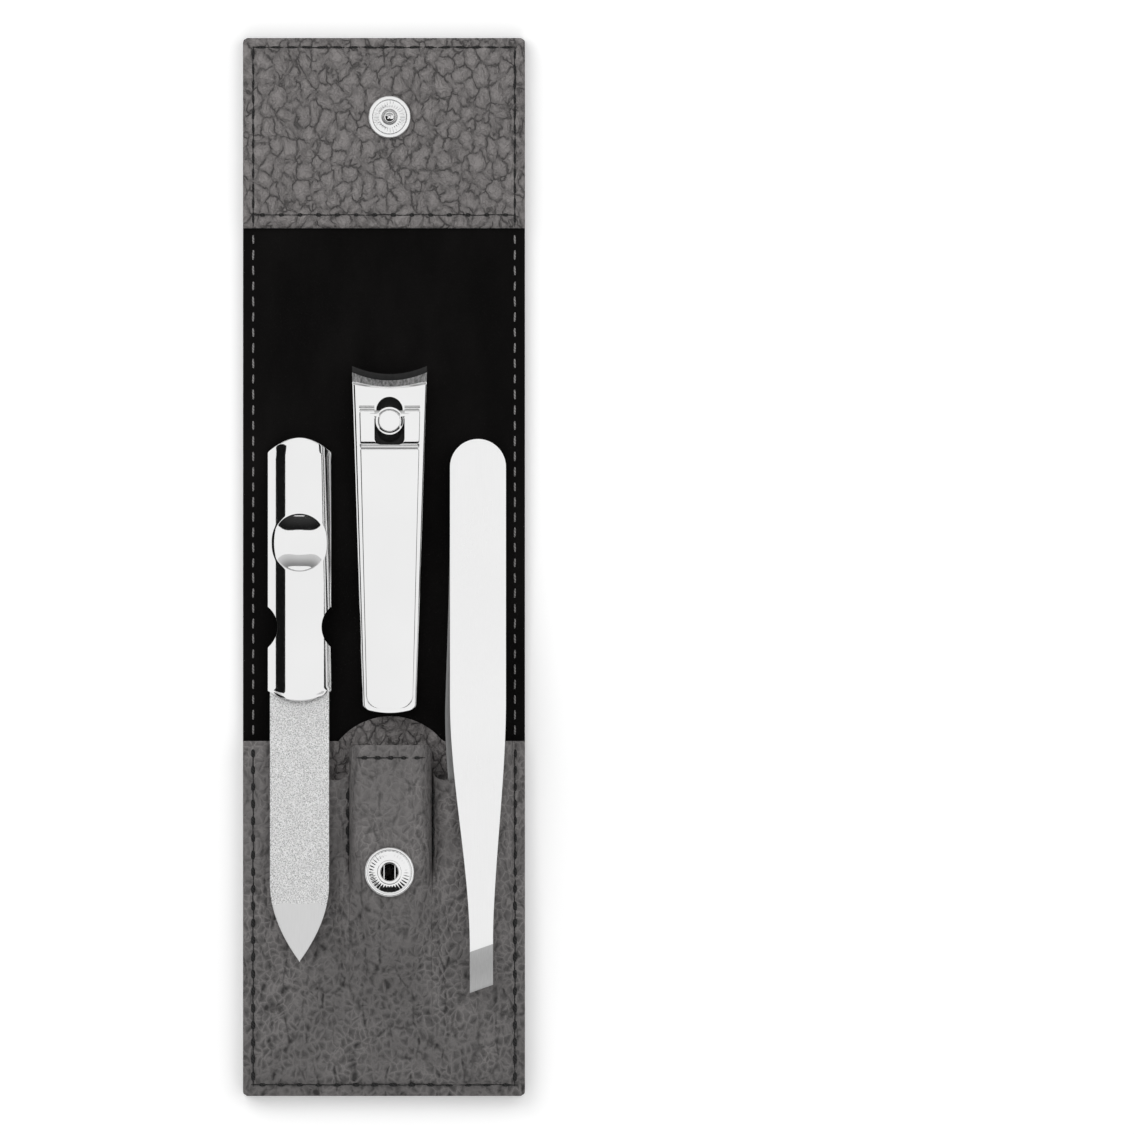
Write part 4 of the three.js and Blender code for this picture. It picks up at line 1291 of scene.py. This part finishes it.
lever = slab("clipper_lever_plate", 48, 170, lever_place)
deselect()
bpy.ops.mesh.primitive_cube_add(size=1)
window = added("window")
for corner in window.data.vertices:
    x, y, z = corner.co
    corner.co.x = (CLIP_X + WINDOW_HALF * (1 if x > 0 else -1)) * MM
    corner.co.y = (BAR_Y + 4 if y > 0 else WINDOW_LOW) * MM
    corner.co.z = (pin_high.z if z > 0 else lever_under(KNEE_Y) - 2) * MM
with editing(window):
    bpy.ops.mesh.select_all(action="DESELECT")
for edge in window.data.edges:
    first, second = (window.data.vertices[i].co for i in edge.vertices)
    edge.select = abs(first.z - second.z) > 0.001 and first.y < BAR_Y * MM
with editing(window, everything=False):
    bpy.ops.mesh.bevel(offset=1.1 * MM, segments=8, affect="EDGES")
cut(lever, window)
cut(lever, rod("rod", 0.8, 2 * (WINDOW_HALF + 0.75), CAM, ALONG_X), "UNION")
rounded(lever, 0.12, 3, 40)
finished(lever, [CHROME], "clipper_lever", ["clipper_lever"], 35)


# Tweezers: two arms of spring steel, welded at the closed end and ground to a slant
TWEEZ_TOP = corners("tweezers_rear_arm")[1].y
TWEEZ_LENGTH = 95.5
TWEEZ_TIP = TWEEZ_TOP - TWEEZ_LENGTH
ARM_WIDTH = 9.65
TIP_WIDTH = 4.0
TWEEZ_X = corners("tweezers_front_arm")[0].x + ARM_WIDTH / 2
TIP_SHIFT = 0.6
ARM_THICK = 1.2
TIP_THICK = 0.65
TIP_GAP = 4.4
FACET = 6.9
SLANT = 1.4
ROUND_SHARE = 0.12


def arm_low(y):
    return INNER_Z + 0.3 + 0.6 * smooth((TWEEZ_TOP - y) / 35)


def arm_thin(y):
    return TIP_THICK + (ARM_THICK - TIP_THICK) * smooth((y - TWEEZ_TIP) / 8)


def arm_narrowed(y):
    """0 over the wide part of the arm, 1 at its narrow tip."""
    return smooth((TWEEZ_TOP - y - 45) / 43)


def arm_half(y):
    along = TWEEZ_TOP - y
    half = (ARM_WIDTH - (ARM_WIDTH - TIP_WIDTH) * arm_narrowed(y)) / 2
    return round_half(half, along) if along < half else half


def front_base(y):
    gap = TIP_GAP * smooth((TWEEZ_TOP - y - 12) / 43)
    return arm_low(y) + ARM_THICK + gap


def arm_piece(name, shift, base):
    """One arm; the rear one is set aside by shift, and base(y) is its lower face."""

    def place(side, along, layer):
        straight = 1 - ROUND_SHARE
        if along < straight:
            y = TWEEZ_TIP + (TWEEZ_LENGTH - ARM_WIDTH / 2) * along / straight
        else:
            turn = math.pi / 2 * (along - straight) / ROUND_SHARE
            y = TWEEZ_TOP - ARM_WIDTH / 2 * (1 - math.sin(turn))
        centre = TWEEZ_X + TIP_SHIFT * arm_narrowed(y) - shift * smooth((TWEEZ_TOP - y - 12) / 55)
        to_tip = smooth((y - TWEEZ_TIP - FACET) / 12)
        slant = SLANT * (1 + side) * (1 - to_tip) / 2
        return centre + side * arm_half(y), y + slant, base(y) + arm_thin(y) * layer

    return slab(name, 24, 190, place)


def ground_tip(centre, shift):
    """Below the slanted line where the maker's wheel stopped."""
    side = (centre.x - TWEEZ_X - TIP_SHIFT + shift) / arm_half(TWEEZ_TIP + FACET / 2)
    return centre.y < TWEEZ_TIP + FACET + SLANT * (1 + side) / 2


for end, shift, base in (("rear", 1.2, arm_low), ("front", 0.0, front_base)):
    arm = arm_piece(f"tweezers_arm_{end}", shift, base)
    rounded(arm, 0.16, 3, 50)
    finishes = [STEEL, FACET_STEEL, SHADED_INNER_STEEL]
    finished(arm, finishes, f"tweezers_{end}", [f"tweezers_{end}_arm"], 40)
    # The rear arm's upward faces, in shadow under the front arm, get painted shade
    if end == "rear":
        paint_where(arm, 2, lambda centre, normal: normal.z > 0.5)
    paint_where(arm, 1, lambda centre, normal: abs(normal.z) > 0.5 and ground_tip(centre, shift))


# Floor, light and camera
def sheet_at(name, size, place, finish):
    deselect()
    bpy.ops.mesh.primitive_plane_add(size=1, location=place)
    bpy.context.object.scale = (size[0], size[1], 1)
    sheet = added(name)
    sheet.data.materials.append(finish.material)
    return sheet


def lamp(name, place, size, watts):
    """A large soft square lamp that faces the case. Gloss shows the pale room instead of it."""
    deselect()
    bpy.ops.object.light_add(type="AREA", location=place)
    light = bpy.context.object
    light.name = name
    light.data.shape = "SQUARE"
    light.data.size = size
    light.data.energy = watts
    light.visible_glossy = False
    light.rotation_euler = (-Vector(place)).to_track_quat("-Z", "Y").to_euler()


def shown_white(name, colour):
    """A pale floor that the camera sees a little paler still, and that keeps its shadow."""
    made = Finish(name, Roughness=0.9, Specular_IOR_Level=0.1, Emission_Strength=1.0)
    haze = made.noise(made.place(), 3.0, 2.0)
    made.colour(haze, grey(colour * 0.99), grey(colour))
    seen = made.node("ShaderNodeLightPath")
    made.feed("Emission Color", made.mix(seen, grey(0.0), grey(0.17)))
    return made


FLOOR_Z = -0.00002
FLOOR_SIDE = 4.0
CARD_AWAY = 0.5
sheet_at("floor", (FLOOR_SIDE, FLOOR_SIDE), (0, 0, FLOOR_Z), shown_white("floor_pale", 0.93))


# Cards that only the metal sees, as the dark bands in its reflections: each spans two angles
# from straight up, on one side
def card(name, across, low, high, near, far, length=1.4):
    """A sheet square to its middle angle, from tone near at its upper edge to far at its lower."""
    middle = math.radians((low + high) / 2)
    reach = 2 * CARD_AWAY * math.tan(math.radians((high - low) / 2))
    towards = Vector((across[0] * math.sin(middle), across[1] * math.sin(middle), math.cos(middle)))
    made = Finish(f"{name}_tone", Roughness=1.0, Specular_IOR_Level=0.0)
    height = made.node("ShaderNodeSeparateXYZ", None, [made.place()], 2)
    edge = math.sin(middle) * reach / 2
    middle_z = towards.z * CARD_AWAY
    rise = height.band(middle_z - edge, middle_z + edge)
    made.colour(rise, grey(far), grey(near))
    sheet = sheet_at(name, (length, reach), (0, 0, 0), made)
    sheet.data.transform(towards.to_track_quat("Z", "Y").to_matrix().to_4x4())
    sheet.data.transform(Matrix.Translation(towards * CARD_AWAY))
    for ray in ("camera", "diffuse", "shadow", "transmission"):
        setattr(sheet, f"visible_{ray}", False)


card("card_left", (-1, 0), 35, 67, 0.01, 0.01, 0.4)
card("card_right", (1, 0), 68, 87, 0.02, 0.02, 0.4)
card("card_low", (0, -1), 28, 72, 0.01, 0.05)
card("card_high", (0, 1), 34, 72, 0.8, 0.3)

lamp("lamp_over_left", (-0.65, 0.6, 0.85), 1.2, 7.6)
lamp("lamp_over_right", (0.65, 0.2, 0.85), 1.1, 3.2)
lamp("lamp_front", (0.1, -0.85, 0.65), 1.1, 2.8)

WHITE = (1, 1, 1, 1)
ROOM_STRENGTH = 0.45
world = bpy.data.worlds.new("pale_room")
bpy.context.scene.world = world
world.use_nodes = True
room = Nodes(world.node_tree)
room.tree.nodes.remove(room.tree.nodes["Background"])
dim, white = (
    room.node("ShaderNodeBackground", None, {"Color": WHITE, "Strength": strength})
    for strength in (ROOM_STRENGTH, 1.0)
)
camera_ray, glossy_ray, through_ray = (
    room.node("ShaderNodeLightPath", output=f"Is {ray} Ray")
    for ray in ("Camera", "Glossy", "Transmission")
)
white_seen = camera_ray.at_least(glossy_ray).at_least(through_ray)
shown = room.node("ShaderNodeMixShader", None, [white_seen, dim, white])
room.tree.links.new(shown.socket, room.tree.nodes["World Output"].inputs["Surface"])

VIEW_WIDTH = 0.1955
VIEW_CENTRE_X = 0.03155
deselect()
bpy.ops.object.camera_add(location=(VIEW_CENTRE_X, 0, 0.6), rotation=(0, 0, 0))
camera = bpy.context.object
camera.name = "camera"
camera.data.type = "ORTHO"
camera.data.ortho_scale = VIEW_WIDTH
bpy.context.scene.camera = camera
bpy.context.scene.view_settings.view_transform = "Standard"
